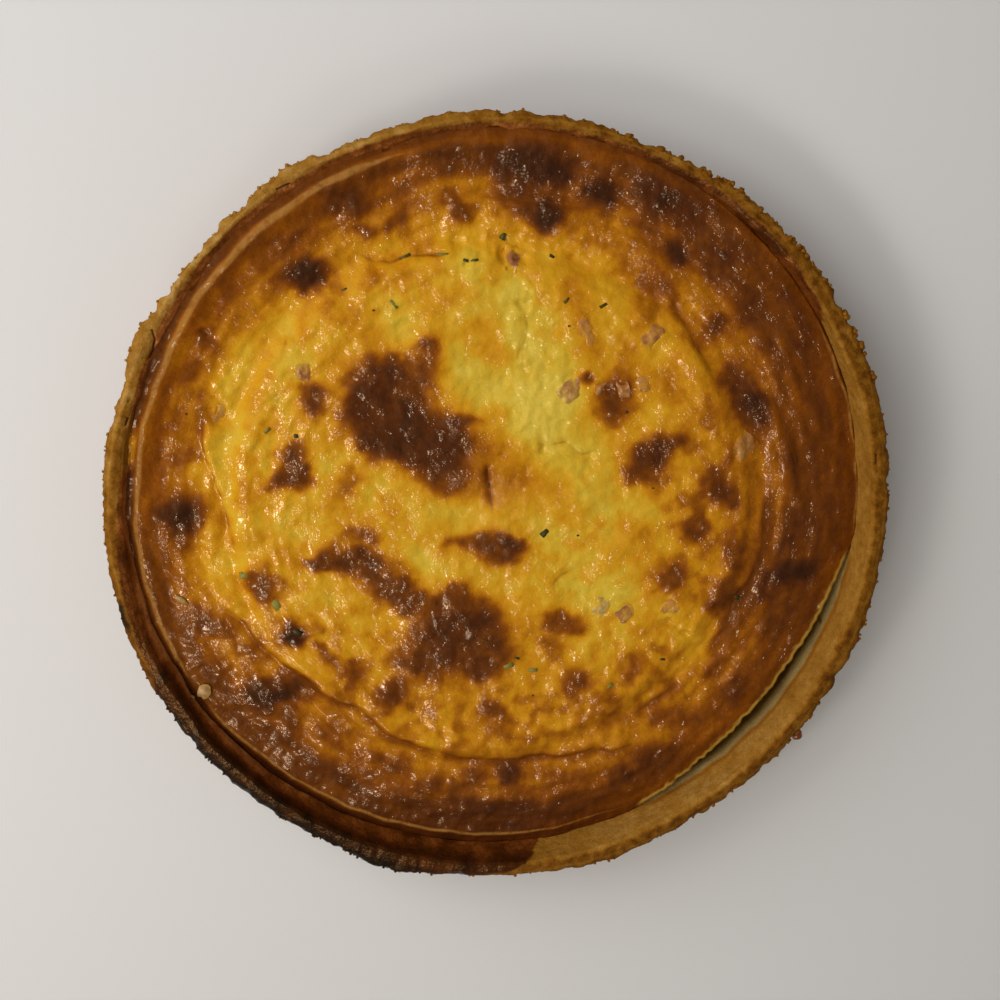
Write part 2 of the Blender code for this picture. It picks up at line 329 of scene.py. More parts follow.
AMBER_BLOTS = (
    (-22, 76, 8, 4, 0, 0.45), (-15, 78, 9, 5, 20, 0.4), (-7, 67, 9, 7, 0, 0.4), (-1, 57, 10, 4, -25, 0.5),
    (14, 79, 4, 4, 0, 0.4), (14, 85, 7, 7, 0, 0.22), (-3, 86, 5, 6, 0, 0.25), (-32, 84, 8, 4, 0, 0.25),
    (27, 76, 10, 8, 90, 0.7), (30, 65, 13, 5, 105, 0.55), (31, 57, 4, 4, 0, 0.6), (40, 94, 12, 6, -25, 0.45),
    (19, 65, 5, 3, 0, 0.4), (50, 70, 5, 4, 0, 0.55), (43, 53, 8, 5, 45, 0.5), (60, 47, 9, 5, 100, 0.75),
    (62, 41, 9, 4, -10, 0.55), (75, 35, 9, 4, 0, 0.5), (68, 26, 8, 4, -30, 0.4), (66, 3, 7, 5, 0, 0.25),
    (-1, 36, 5, 4, 0, 0.4), (-4, 26, 11, 4, 0, 0.5), (-5, 20, 7, 4, 90, 0.6), (8, 12, 9, 4, 10, 0.55),
    (0, 11, 20, 12, -10, 0.8), (-8, 14, 8, 6, 0, 0.5), (25, 0, 7, 5, 0, 0.4), (47, -7, 7, 5, 0, 0.5),
    (56, -6, 5, 3, 0, 0.4), (-39, 3, 4, 3, 0, 0.5), (-36, -4, 4, 4, 0, 0.3), (-26, -8, 4, 4, 0, 0.3),
    (-52, -4, 12, 5, 0, 0.35), (-88, 21, 8, 3, 80, 0.3), (-88, 42, 9, 5, 70, 0.35), (-77, -11, 7, 4, 0, 0.35),
    (-90, 6, 9, 4, 100, 0.3), (-60, 2, 14, 7, 10, 0.25), (-76, 5, 16, 5, -30, 0.2), (-51, 70, 6, 5, 0, 0.4),
    (-46, 63, 6, 5, 0, 0.45), (-59, 58, 6, 4, 0, 0.4), (-87, 69, 9, 5, 70, 0.4), (-64, 72, 6, 6, 0, 0.2),
    (-47, 75, 5, 5, 0, 0.3), (-73, 32, 16, 6, 10, 0.18), (-60, 27, 13, 6, 20, 0.35), (-88, -8, 6, 4, 0, 0.35),
    (-50, -35, 8, 5, 0, 0.35), (-88, -45, 10, 5, -40, 0.3), (-40, -47, 16, 5, -15, 0.65),
    (-28, -66, 18, 5, -20, 0.35), (-14, -67, 16, 5, -25, 0.3), (12, -61, 6, 6, 0, 0.25),
    (-4, -81, 12, 8, 0, 0.5), (14, -72, 10, 6, 0, 0.25), (20, -67, 8, 6, 0, 0.25), (28, -73, 10, 6, 0, 0.4),
    (33, -82, 6, 4, 0, 0.4), (43, -72, 7, 5, 0, 0.2), (57, -66, 7, 5, 0, 0.35), (4, -43, 8, 12, 0, 0.45),
    (13, -46, 10, 7, 0, 0.5), (10, -33, 8, 5, -60, 0.3), (56, -33, 7, 5, 0, 0.35), (45, -16, 14, 4, -10, 0.3),
    (38, -20, 8, 3, 20, 0.3), (20, 8, 10, 4, 30, 0.3), (0, 22, 14, 5, 0, 0.3), (8, 17, 8, 5, 0, 0.35),
    (88, 52, 10, 4, -55, 0.3), (64, 82, 10, 6, -40, 0.25), (47, 60, 5, 5, 0, 0.3), (-24, 68, 7, 8, 90, 0.3),
    (-30, 98, 12, 6, 10, 0.25), (28, 99, 12, 6, -10, 0.2), (54, -45, 6, 4, 0, 0.3),
)
CHARRED_CORES = (
    (-38, 34, 26, 20, -20, 0.2), (-21, 24, 17, 17, 0, 0.2), (-115, 0, 8, 6, 0, 0.6), (-68, 85, 9, 4, 5, 0.5),
    (15, 105, 7, 5, 90, 0.6), (-75, -45, 6, 4, -20, 0.7), (12, 122, 18, 9, -5, 0.6), (34, 113, 6, 6, 0, 0.5),
    (-85, -68, 12, 4, 5, 0.5), (93, 37, 12, 4, -57, 0.5), (109, -25, 12, 5, 10, 0.5),
    (54, 112, 12, 4, -20, 0.3), (62, 92, 4, 4, 0, 0.5), (-72, 12, 8, 4, 0, 0.4), (3, -102, 5, 4, 90, 0.4),
)
# broad areas where the yellow is deeper
WARM_AREAS = (
    (-70, -10, 90, 60, 90, 0.7), (-30, -65, 80, 30, -15, 0.9), (30, -75, 80, 24, 5, 0.9),
    (-60, 72, 70, 30, 40, 0.6), (80, 5, 80, 26, 90, 0.8), (60, 78, 60, 20, -45, 0.7),
    (-5, 100, 80, 16, 0, 0.5), (52, -14, 52, 74, 0, 1.0),
)
# The skin tore or never set here, and the curd under it shows paler.
PALE_PATCHES = (
    (15, 42, 26, 20, 80, 0.9), (22, 20, 26, 12, 10, 0.8), (36, 8, 22, 14, 0, 0.5), (6, 70, 26, 8, 110, 0.7),
    (3, 90, 14, 9, 100, 0.7), (-8, 47, 20, 12, 0, 0.5), (60, 40, 12, 24, 0, 0.35), (30, -30, 26, 12, 20, 0.4),
    (42, -37, 16, 9, 0, 0.45), (66, -42, 20, 8, -35, 0.9), (76, -58, 16, 5, 100, 0.7),
    (24, -20, 18, 8, 30, 0.4), (-96, 50, 12, 10, 0, 0.7), (-100, 22, 14, 6, 95, 0.8),
    (-97, 8, 22, 6, 110, 0.9), (-94, 40, 24, 4, 95, 0.8), (-75, 62, 22, 6, 75, 0.7),
    (-88, 58, 14, 10, 20, 0.6), (-38, 92, 26, 6, 0, 0.6), (-12, 92, 14, 10, 0, 0.6),
    (-96, -20, 12, 8, -60, 0.6), (-105, -18, 16, 4, 100, 0.6), (-35, 63, 14, 10, 0, 0.5),
    (-27, -18, 9, 9, 0, 0.6), (-60, 20, 14, 4, 55, 0.5), (-40, 12, 14, 6, 20, 0.4), (3, -33, 10, 10, 0, 0.5),
    (-20, 0, 26, 6, 5, 0.35), (58, 60, 18, 12, -40, 0.4), (38, 75, 16, 12, 0, 0.4), (44, -58, 12, 8, 60, 0.4),
    (-36, -46, 12, 4, 20, 0.4), (12, 95, 14, 8, 0, 0.5), (-32, 76, 8, 5, -40, 0.4),
)
print(len(MIDDLE_SCORCHES) + len(RING_SCORCHES), "scorches,", len(AMBER_BLOTS), "amber blots")

# %% [markdown]
# ## Folds
#
# As the custard cools it sinks, and its skin is too big for it: it folds along the border of the raised
# middle. A fold is a line of points. The ground to the left of the line, going along it, stands higher,
# and a thin groove runs in the line, painted as a brown line that is partly browning and partly painted
# shade. The numbers after the points are that step, the groove's depth in millimetres, and how dark the
# painted line is.

# %% Folds
FOLDS = (
    ("left", ((-104, 48), (-105, 30), (-104, 20), (-101, 10), (-98, 2), (-95, -8), (-95, -14)), 1.3, 0.7, 0.75),
    ("left, lower", ((-98, -19), (-94, -25), (-90, -29)), 0.8, 0.6, 0.8),
    ("lower left",
     ((-102, -32), (-93, -41), (-88, -48), (-83, -53), (-74, -59), (-66, -66), (-60, -70), (-50, -75),
      (-43, -81), (-37, -86), (-29, -89), (-22, -92)),
     1.6, 0.8, 0.85),
    ("bottom", ((-24, -91), (-12, -94), (-1, -96), (10, -95), (26, -94), (34, -92), (42, -93), (51, -90)),
     1.7, 0.8, 0.85),
    ("bottom right", ((46, -81), (52, -77), (59, -72), (66, -66)), 0.9, 0.6, 0.85),
    ("lower right",
     ((75, -55), (80, -49), (83, -44), (87, -36), (89, -31), (94, -24), (96, -14), (97, -4), (96, 5)),
     1.3, 0.8, 0.95),
    ("right", ((112, -5), (111, 3), (108, 10), (107, 18), (103, 27), (101, 34), (97, 43)), 1.0, 0.6, 0.7),
    ("upper right", ((76, 49), (70, 58), (66, 64), (61, 73), (57, 80)), 0.8, 0.7, 0.35),
    ("upper right, outer", ((68, 80), (58, 88), (50, 96), (40, 105)), 0.6, 0.5, 0.3),
    ("top", ((41, 103), (34, 107), (24, 108), (12, 110), (2, 111), (-9, 112), (-20, 111)), 0.8, 0.5, 0.45),
    ("top crack", ((-18, 92), (-25, 92), (-33, 91), (-38, 89), (-44, 90), (-51, 93)), 0.5, 0.9, 0.7),
    ("slit", ((-5, 19), (-4, 13), (-4, 8), (-3, 3), (-3, -1)), 0.1, 1.5, 1.0),
    ("fissure", ((26, -22), (22, -24), (19, -27), (19, -31)), 0.3, 0.7, 0.7),
    ("curd tear", ((3, 78), (8, 72), (9, 66), (8, 55), (8, 49)), 0.2, 0.5, 0.25),
    ("curd tear, lower", ((11, 26), (17, 24), (23, 26), (29, 21), (38, 22)), 0.3, 0.7, 0.3),
    ("curd groove", ((60, -40), (63, -43), (67, -47)), 0.3, 0.9, 0.6),
    ("upper left crease", ((-75, 66), (-75, 60), (-77, 54)), 0.2, 0.9, 0.45),
    ("top seam", ((20, 94), (30, 88), (38, 80)), 0.4, 0.4, 0.15),
)
FOLD_REACH = 3.5
FOLD_END = 5.0


def line_distance(points, line):
    """Signed distance of each point from a line, positive to its left, and how far along it is."""
    best = np.full(len(points), 1e6)
    signed = best.copy()
    along = np.zeros(len(points))
    travelled = 0.0
    for start, end in zip(line, line[1:]):
        start, end = np.array(start, float), np.array(end, float)
        step = end - start
        length = np.hypot(*step)
        offset = points[:, :2] - start
        share = np.clip(offset @ step / length**2, 0.0, 1.0)
        away = np.hypot(*(offset - share[:, None] * step).T)
        side = np.sign(step[0] * offset[:, 1] - step[1] * offset[:, 0])
        nearer = away < best
        best = np.where(nearer, away, best)
        signed = np.where(nearer, side * away, signed)
        along = np.where(nearer, travelled + share * length, along)
        travelled += length
    return signed, smooth(0.0, FOLD_END, along) * smooth(0.0, FOLD_END, travelled - along)


print(len(FOLDS), "folds")

# %% [markdown]
# ## The filling's surface
#
# The top starts as a square grid of points, pressed to a disc so that the cells stay even; a fan of
# triangles would crowd at the middle and be coarse at the rim. The cells are under a millimetre wide,
# so that the folds, blisters and pits are real shape and only the finest grain is left to the shader.

# %% Filling grid
GRID_STEPS = 292
# how far the skin bites into the wall that it baked on to, and by direction how far it laps over the shell
RIM_BITE = 0.25
LAP = ((48, 0.0), (62, 1.0), (85, 1.8), (110, 2.2), (145, 2.2), (160, 1.0), (200, 0.6), (212, 0.0))
# the edge that tore off the wall is ragged: how much, in lumps of which size, and about which radius it runs
TORN_EDGE, TORN_LUMP, TORN_RADIUS = 0.55, 2.6, 124.0


def square_to_disc(u, v):
    """Presses a point of the square from -1 to 1 to the unit disc, keeping areas even."""
    if u == 0.0 and v == 0.0:
        return 0.0, 0.0
    if abs(u) > abs(v):
        return u, 0.25 * math.pi * v / u
    return v, 0.5 * math.pi - 0.25 * math.pi * u / v


filling_bm = bmesh.new()
bmesh.ops.create_grid(filling_bm, x_segments=GRID_STEPS, y_segments=GRID_STEPS, size=1.0)
for vert in filling_bm.verts:
    reach, turn = square_to_disc(vert.co.x, vert.co.y)
    vert.co = (reach * math.cos(turn), reach * math.sin(turn), 0.0)
unit = np.array([vert.co[:] for vert in filling_bm.verts])
share, degrees = polar(unit)
drew_back = shrink(degrees)
rim_radius = wall_radius(rim_height(degrees)) + RIM_BITE - drew_back
rim_radius -= (GAP + RIM_BITE) * smooth(0.0, 1.0, drew_back)
rim_radius += by_direction(degrees, LAP)
ragged_rim = random_field(laid_flat(TORN_RADIUS, degrees), TORN_LUMP, 17)
rim_radius += TORN_EDGE * ragged_rim * smooth(1.0, 3.0, drew_back)
radius = share * rim_radius
top = laid_flat(radius, degrees)
print(len(top), "points on top, cells of about", round(2.0 * LIP_RADIUS / GRID_STEPS * 0.89, 2), "mm")

# %% [markdown]
# ## Browning
#
# Browning is one number at each point, from 0 for pale custard to 1 for burnt. It grows outward, where
# the skin is thin and the tin hot, at a different radius in each direction. A table with a row for every
# fifteen degrees holds those radii, and the values between two rows are read off smoothly.

# %% Browning round the ring
# (direction, radius where the yellow turns golden, where it is orange, where it is brown, how brown it gets)
BROWNING_RINGS = (
    (0, 74, 83, 102, 0.69), (15, 74, 84, 103, 0.65), (30, 75, 88, 110, 0.67), (45, 80, 98, 112, 0.67),
    (60, 86, 104, 118, 0.66), (75, 98, 111, 121, 0.63), (90, 101, 111, 120, 0.66), (105, 102, 111, 122, 0.60),
    (120, 101, 111, 120, 0.60), (135, 103, 112, 122, 0.58), (150, 106, 114, 123, 0.58),
    (165, 106, 114, 125, 0.58), (180, 105, 111, 120, 0.62), (195, 101, 110, 119, 0.68),
    (210, 94, 104, 117, 0.67), (225, 88, 97, 112, 0.70), (240, 82, 91, 112, 0.72), (255, 88, 97, 112, 0.76),
    (270, 82, 93, 109, 0.81), (285, 84, 98, 111, 0.74), (300, 83, 95, 112, 0.67), (315, 86, 103, 116, 0.61),
    (330, 80, 94, 108, 0.63), (345, 74, 84, 100, 0.67),
)
PALE_LEVEL, GOLDEN_LEVEL, ORANGE_LEVEL, BROWN_LEVEL = 0.13, 0.29, 0.44, 0.56
# the width in mm of the band in which pale turns golden
GOLDEN_BAND = 24.0


def ring_browning(radius, degrees):
    """The even part of the browning: pale in the middle and browner towards the wall."""
    golden, orange, brown, deepest = (
        by_direction(degrees, [(row[0], row[column]) for row in BROWNING_RINGS]) for column in (1, 2, 3, 4)
    )
    level = PALE_LEVEL + (GOLDEN_LEVEL - PALE_LEVEL) * smooth(golden - GOLDEN_BAND, golden, radius)
    level += (ORANGE_LEVEL - GOLDEN_LEVEL) * smooth(golden, orange, radius)
    level += (BROWN_LEVEL - ORANGE_LEVEL) * smooth(orange, brown, radius)
    return level + (deepest - BROWN_LEVEL) * smooth(brown - 1.0, brown + 6.0, radius)


yellow_ends = [row[1] for row in BROWNING_RINGS]
print("the yellow ends between", min(yellow_ends), "and", max(yellow_ends), "mm")

# %% [markdown]
# ## The skin's edge, and how wet it is
#
# Near the wall the skin stretched and tore, and shows as a pale line, the ridge. Beyond it the skin
# baked on to the wall as a thin dark film. The fat on the skin is most rippled where the custard puffed
# and sank again, least on the smooth band inside the ridge, and the film beyond the ridge is nearly dry.

# %% The ridge, the film and the fat
RIDGE_LINE = (
    (0, 130.8), (26, 130.8), (60, 131.0), (90, 131.0), (100, 130.6), (115, 130.4), (130, 130.3), (142, 129.8),
    (150, 129.1), (165, 128.9), (190, 129.0), (208, 129.0), (218, 128.2), (232, 127.3), (262, 126.6),
    (295, 126.6), (305, 131.0),
)
RIDGE_WIDTH = (
    (0, 1.0), (26, 1.0), (32, 0.0), (60, 0.0), (102, 0.0), (112, 1.7), (135, 1.9), (150, 1.6), (165, 1.4),
    (190, 1.3), (206, 1.2), (209, 0.0), (213, 0.0), (217, 1.1), (235, 0.9), (250, 1.2), (270, 1.1),
    (285, 0.7), (296, 0.0), (352, 0.0), (358, 1.0),
)
WALL_FILM = (
    (0, 0.70), (60, 0.69), (85, 0.69), (100, 0.71), (115, 0.72), (165, 0.72), (167.5, 0.42), (171, 0.42),
    (173, 0.72), (190, 0.78), (205, 0.88), (240, 0.88), (262, 0.80), (300, 0.72),
)
# how strongly the fat on the skin is rippled, by direction
RIPPLED = (
    (0, 1.3), (30, 1.5), (60, 1.6), (95, 1.5), (115, 1.2), (150, 1.0), (180, 0.8), (215, 0.8), (250, 1.0),
    (290, 1.2), (330, 1.4),
)
# the wall that the skin baked on to, as an arc in degrees and how softly it ends
STUCK_ARC = (60, 292, 8.0)
# the radii between which the skin gets smoother and the arc in which it does, how much smoother, and how
# much drier it is past the ridge
SMOOTH_BAND = (117.0, 121.0)
SMOOTH_ARC = (105, 290, 12.0)
SMOOTH_SHARE, DRY_SHARE = 0.4, 0.7
# how far the ridge wanders, and in waves of which length, in mm
RIDGE_WANDER, RIDGE_WAVE = 0.5, 9.0
ridge_mm = radius - by_direction(degrees, RIDGE_LINE) - RIDGE_WANDER * random_field(top, RIDGE_WAVE, 12)
ridge_width = by_direction(degrees, RIDGE_WIDTH)
ridge_radii = [row[1] for row in RIDGE_LINE]
print("ridge between", min(ridge_radii), "and", max(ridge_radii), "mm from the middle")

# %% [markdown]
# ## Blots
#
# A blot is an oval with a soft edge, and blots that overlap melt together. The places are pushed about
# by two random fields before the blots read them, which makes neat ovals ragged, as scorches are.

# %% Blots
# a blot's edge is this share of its width, but within these limits in mm, and it reaches out by this much of it
EDGE_SHARE = 0.27
EDGE_LEAST, EDGE_MOST = 1.2, 4.0
EDGE_OUTWARD = 0.8
COARSE_MM, FINE_MM = 10.0, 3.6
# how far the coarse and the fine field push the places, in mm
COARSE_PUSH, FINE_PUSH = 1.5, 0.7


def blots(points, marks, soften=1.0):
    """The marks' joint strength at each point, 0 where there is none; a wide mark has a softer edge."""
    clear = np.ones(len(points))
    for x, y, length, width, turn, strength in marks:
        softness = soften * min(max(EDGE_SHARE * width, EDGE_LEAST), EDGE_MOST)
        turn = math.radians(turn)
        dx, dy = points[:, 0] - x, points[:, 1] - y
        near = np.hypot(dx, dy) < 0.5 * length + 6.0 * softness
        dx, dy = dx[near], dy[near]
        along = (dx * math.cos(turn) + dy * math.sin(turn)) / (0.5 * length)
        across = (dy * math.cos(turn) - dx * math.sin(turn)) / (0.5 * width)
        out = np.hypot(along, across)
        local_size = out / np.maximum(np.hypot(along / (0.5 * length), across / (0.5 * width)), 1e-6)
        edge = (out - 1.0) * np.minimum(local_size, 0.5 * length)
        beyond = np.clip(edge / softness - EDGE_OUTWARD, -30.0, 30.0)
        clear[near] *= 1.0 - strength / (1.0 + np.exp(1.6 * beyond))
    return 1.0 - clear


def moved(points, coarse, fine):
    """Places seen from above, pushed about by a coarse and a fine random field, by so many mm."""
    flat = points * (1.0, 1.0, 0.0)
    return flat[:, :2] + np.column_stack([
        coarse * random_field(flat, COARSE_MM, seed) + fine * random_field(flat, FINE_MM, seed + 1)
        for seed in (1, 3)
    ])


ragged = moved(top, COARSE_PUSH, FINE_PUSH)
print("places pushed by up to", round(float(np.hypot(*(ragged - top[:, :2]).T).max()), 1), "mm")

# %% [markdown]
# ## Browning at each point
#
# The even browning comes first, then lumps and dapples, then the warm areas, the amber and the
# scorches, each of which only ever makes the skin darker. The film past the ridge comes last.

# %% Browning at each point
AMBER_LEVEL, SCORCH_LEVEL, CHAR_LEVEL = 0.50, 0.76, 1.0
# how much wider a soft edge the glow round a scorch, an amber blot and a warm area have
HALO_SOFT, AMBER_SOFT, WARM_SOFT = 1.9, 1.6, 2.2
# the glow round a scorch takes the skin this share of the way to this level
HALO_SHARE, HALO_LEVEL = 0.5, 0.42
# the skin's lumps and dapples, in mm, and the radius at which what lies round the ring has its true length
LUMP_MM, DAPPLE_MM = 12.0, 4.5
RING_MIDDLE = 100.0
# the raised middle stays even; from the first radius to the second the skin gets puckered
PUCKERED_FROM = (50.0, 90.0)


def ring_field(radius, degrees, across, along, seed):
    """A random value in lumps that lie round the ring, across mm wide and along mm long."""
    turn = np.radians(degrees)
    places = (radius / across, RING_MIDDLE * np.cos(turn) / along, RING_MIDDLE * np.sin(turn) / along)
    return random_field(np.column_stack(places), 1.0, seed)


lumps = random_field(top, LUMP_MM, 5)
dapple = random_field(top, DAPPLE_MM, 6)
streaks = ring_field(radius, degrees, 3.4, 12.0, 13)
scorches = MIDDLE_SCORCHES + RING_SCORCHES
scorch = blots(ragged, scorches)
halo = blots(ragged, scorches, HALO_SOFT)
amber = blots(ragged, AMBER_BLOTS, AMBER_SOFT)
pale = blots(ragged, PALE_PATCHES)
char = blots(ragged, CHARRED_CORES)
warm = blots(top, WARM_AREAS, WARM_SOFT)
even = ring_browning(radius + 1.8 * lumps, degrees)
inside = smooth(0.5, 0.3, even)
browning = even + inside * (0.04 * lumps + 0.03 * dapple - 0.12 * pale)
browning += (1.0 - inside) * (0.05 * streaks + 0.02 * dapple)
mottled = smooth(-0.4, 1.0, dapple + 0.5 * lumps)
browning += inside * (0.08 * warm + (0.04 + 0.08 * warm) * mottled * (1.0 - pale))
browning = np.clip(browning, 0.02, 1.0)
browning += HALO_SHARE * halo * np.maximum(HALO_LEVEL - browning, 0.0)
browning += np.maximum(AMBER_LEVEL - browning, 0.0) * amber
scorched = SCORCH_LEVEL + 0.06 * lumps + 0.05 * dapple + 0.03 * random_field(top, 2.2, 14)
browning += np.maximum(scorched - browning, 0.0) * scorch**1.4
browning += np.maximum(CHAR_LEVEL - browning, 0.0) * char
film = smooth(0.5, 1.9, ridge_mm - 0.4 * ridge_width) * between(degrees, *STUCK_ARC)
browning += film * (by_direction(degrees, WALL_FILM) + 0.05 * streaks - browning)
wet = 1.0 + (by_direction(degrees, RIPPLED) - 1.0) * smooth(*PUCKERED_FROM, radius)
wet *= (1.0 - 0.3 * pale) * (
    1.0 - SMOOTH_SHARE * smooth(*SMOOTH_BAND, radius) * between(degrees, *SMOOTH_ARC)
)
wet *= 1.0 - DRY_SHARE * smooth(-2.5, 0.0, ridge_mm) * between(degrees, *STUCK_ARC)
print("browning from", round(float(browning.min()), 2), "to", round(float(browning.max()), 2))

# %% [markdown]
# ## Height
#
# The height starts as the CAD's plain dome and ring. Slow waves, stretched round the ring where the
# skin puckered, break it up. Scorched places stand a little proud, because they were blisters. Towards
# the wall the skin climbs: slowly at first, and steeply in the last few millimetres.

# %% Height of the top
# (height in mm, size in mm, seed) of the slow waves, the lumps and the small dimples
SWELLS = ((0.55, 17.0, 8), (0.30, 6.5, 9), (0.16, 2.8, 10))
# where the climb to the wall starts, in mm before the ridge, and its share of the whole
SLOW_CLIMB, STEEP_CLIMB = (20.0, 0.6), (7.0, 0.4)
SCORCH_RISE, AMBER_RISE, PALE_DROP, PALE_ROUGH = 0.5, 0.2, 0.30, 0.30
# the puckers' and the wrinkles' height, and the radii between which they fade out towards the wall
PUCKER_RISE, WRINKLE_RISE = 0.34, 0.12
PUCKERED_TO = (126.0, 112.0)
pucker = ring_field(radius, degrees, 3.2, 11.0, 7)
wrinkle = ring_field(radius, degrees, 1.9, 5.0, 15)
height = plain_height(radius, degrees)
crest = np.minimum(by_direction(degrees, RIDGE_LINE), rim_radius - 1.0)
climb = sum(part * smooth(crest - before, crest, radius) for before, part in (SLOW_CLIMB, STEEP_CLIMB))
height += by_direction(degrees, MENISCUS) * climb
height += sum(amount * random_field(top, size, seed) for amount, size, seed in SWELLS)
puckered = smooth(*PUCKERED_FROM, radius) * smooth(*PUCKERED_TO, radius)
height += puckered * (PUCKER_RISE * pucker + WRINKLE_RISE * wrinkle)
height += SCORCH_RISE * scorch + AMBER_RISE * amber - PALE_DROP * pale
height += PALE_ROUGH * pale * random_field(top, 3.0, 11)
print("before the folds, between", round(float(height.min()), 1), "and", round(float(height.max()), 1), "mm")

# %% The folds in the top
# how far a fold's raised side reaches and how wide its groove is, in mm, and how much its lower side
# is darkened, partly browning and partly painted shade
RAISED_REACH, GROOVE_WIDTH, FOLD_SHADE_AND_BROWNING = 8.0, 1.2, 0.14
RIDGE_RISE, RIDGE_SPREAD = 0.4, 1.9
fold_mm = np.full(len(top), FOLD_REACH)
fold_painted_shade = np.zeros(len(top))
for name, line, step, groove, dark in FOLDS:
    away, strength = line_distance(top[:, :2] + 0.35 * (ragged - top[:, :2]), line)
    raised = smooth(-1.0, 1.4, away) * bell(np.maximum(away, 0.0), RAISED_REACH)
    height += strength * (step * raised - 0.5 * groove * bell(away, GROOVE_WIDTH))
    # painted shade, with some browning, beside each fold on its lower side
    browning += strength * dark * FOLD_SHADE_AND_BROWNING * bell(away + 0.8, 2.0) * smooth(0.75, 0.5, browning)
    # how dark the painted line in the nearest fold is
    nearer = np.abs(away) < np.abs(fold_mm)
    fold_mm = np.where(nearer, away, fold_mm)
    fold_painted_shade = np.where(nearer, dark * strength * (0.7 + 0.5 * np.clip(lumps + dapple, -1.0, 1.0)), fold_painted_shade)

height += RIDGE_RISE * bell(ridge_mm, RIDGE_SPREAD) * smooth(0.0, 1.2, ridge_width)
print("top between", round(float(height.min()), 1), "and", round(float(height.max()), 1), "mm")

# %% [markdown]
# ## Hollows for the ham
#
# Each die of ham has its own solid in the CAD. The custard set round it, so the surface has a hollow
# there, a little narrower than the die: the die's shoulders then dip under the custard, as they do in
# the real thing. The die's place is read from its CAD node, and its straight outline is roughened.

# %% Hollows
HAM_NODES = sorted(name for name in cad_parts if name.startswith("ham"))
HAM_HOLLOW = 5.0
# a dent and a hollow run from nothing to their full depth between these shares of their outline
DENT_SIDE, HOLLOW_SIDE = (1.25, 0.55), (0.5, 0.25)
# (x, y, length, width, turn, depth) of dents beside the dice and in the skin
DENTS = (
    (-100, 38, 17, 7, 97, 1.6), (1, 92, 6, 4, -20, 1.8), (8, 90, 4, 4, 0, 1.2), (-9, 91, 4, 2, 10, 1.0),
    (-12, 90, 3, 2, 0, 1.0), (-102, 64, 4, 2, -35, 1.6), (-4, 15, 5, 2, 100, 1.2), (30, 49, 3, 3, 0, 0.8),
    (8, 74, 5, 3, -60, 0.9), (11, 82, 6, 3, -50, 0.5), (15, 22, 4, 2, 110, 0.8), (8, 56, 5, 2, 70, 0.8),
    (60, -42, 5, 3, -40, 1.2), (68, -47, 3, 2, 0, 1.0), (-3, 95, 8, 5, 80, 0.5), (-15, 95, 8, 4, 80, 0.5),
    (-99, -62, 10, 6, 60, 0.6), (-118, -58, 9, 4, 70, 1.2), (-92, -24, 8, 6, 20, 0.6),
)


def footprint(name):
    """Middle, long axis and half sizes of a CAD die, seen from above, in millimetres."""
    corners = np.array([vert.co[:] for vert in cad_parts[name].data.vertices]) / MM
    middle = 0.5 * (corners.min(axis=0) + corners.max(axis=0))
    flat = corners[:, :2] - middle[:2]
    axis = np.linalg.eigh(flat.T @ flat)[1][:, 1]
    half_length = np.abs(flat @ axis).max()
    half_width = np.abs(flat @ np.array((-axis[1], axis[0]))).max()
    return middle, axis, half_length, half_width


def box_distance(places, x, y, axis, half_length, half_width):
    """1 on the outline of a rounded rectangle, less inside and more outside."""
    dx, dy = places[:, 0] - x, places[:, 1] - y
    along = (dx * axis[0] + dy * axis[1]) / half_length
    across = (dy * axis[0] - dx * axis[1]) / half_width
    return (np.abs(along) ** 2.6 + np.abs(across) ** 2.6) ** (1.0 / 2.6)


for x, y, length, width, lie, depth in DENTS:
    axis = (math.cos(math.radians(lie)), math.sin(math.radians(lie)))
    height -= depth * smooth(*DENT_SIDE, box_distance(ragged, x, y, axis, 0.5 * length, 0.5 * width))

whole_height = height.copy()
chewed = moved(top, 0.0, 1.3)
for name in HAM_NODES:
    middle, axis, half_length, half_width = footprint(name)
    from_middle = box_distance(chewed, middle[0], middle[1], axis, half_length, half_width)
    height -= HAM_HOLLOW * smooth(*HOLLOW_SIDE, from_middle)
top[:, 2] = height
print(len(HAM_NODES), "dice of ham, hollows", HAM_HOLLOW, "mm deep")

# %% [markdown]
# ## Closing the filling
#
# The heights go into the grid, with the browning and the lines as attributes that the material reads.
# The border is then extruded down the wall row by row and capped, so the filling is one closed solid.
# Where it shrank from the wall, that side is pale, because it never browned.

# %% Filling mesh
# how far below the rim the rows down the side are, and the share of the shrinking that is left half way down
SIDE_ROWS = (0.5, 1.4, 3.0, 6.0, 11.0, 16.0)
HALFWAY_SHARE = 0.6
# radius and height of the two rows that turn in to the underside
FOOT_ROWS = ((WALL_FOOT_RADIUS - 1.7, FLOOR_THICKNESS + 1.3), (WALL_FOOT_RADIUS - 4.0, FLOOR_THICKNESS + GAP))


def write_numbers(bm, columns):
    """Stores one number per point in float layers, in the order of the points."""
    for name, values in columns.items():
        layer = bm.verts.layers.float.new(name)
        for vert, value in zip(bm.verts, values):
            vert[layer] = value
    bm.verts.index_update()


def pull_out_border(bm):
    """Extrudes the open border where it is and returns its new points."""
    border = [edge for edge in bm.edges if edge.is_boundary]
    pulled = bmesh.ops.extrude_edge_only(bm, edges=border)["geom"]
    return [part for part in pulled if isinstance(part, bmesh.types.BMVert)]


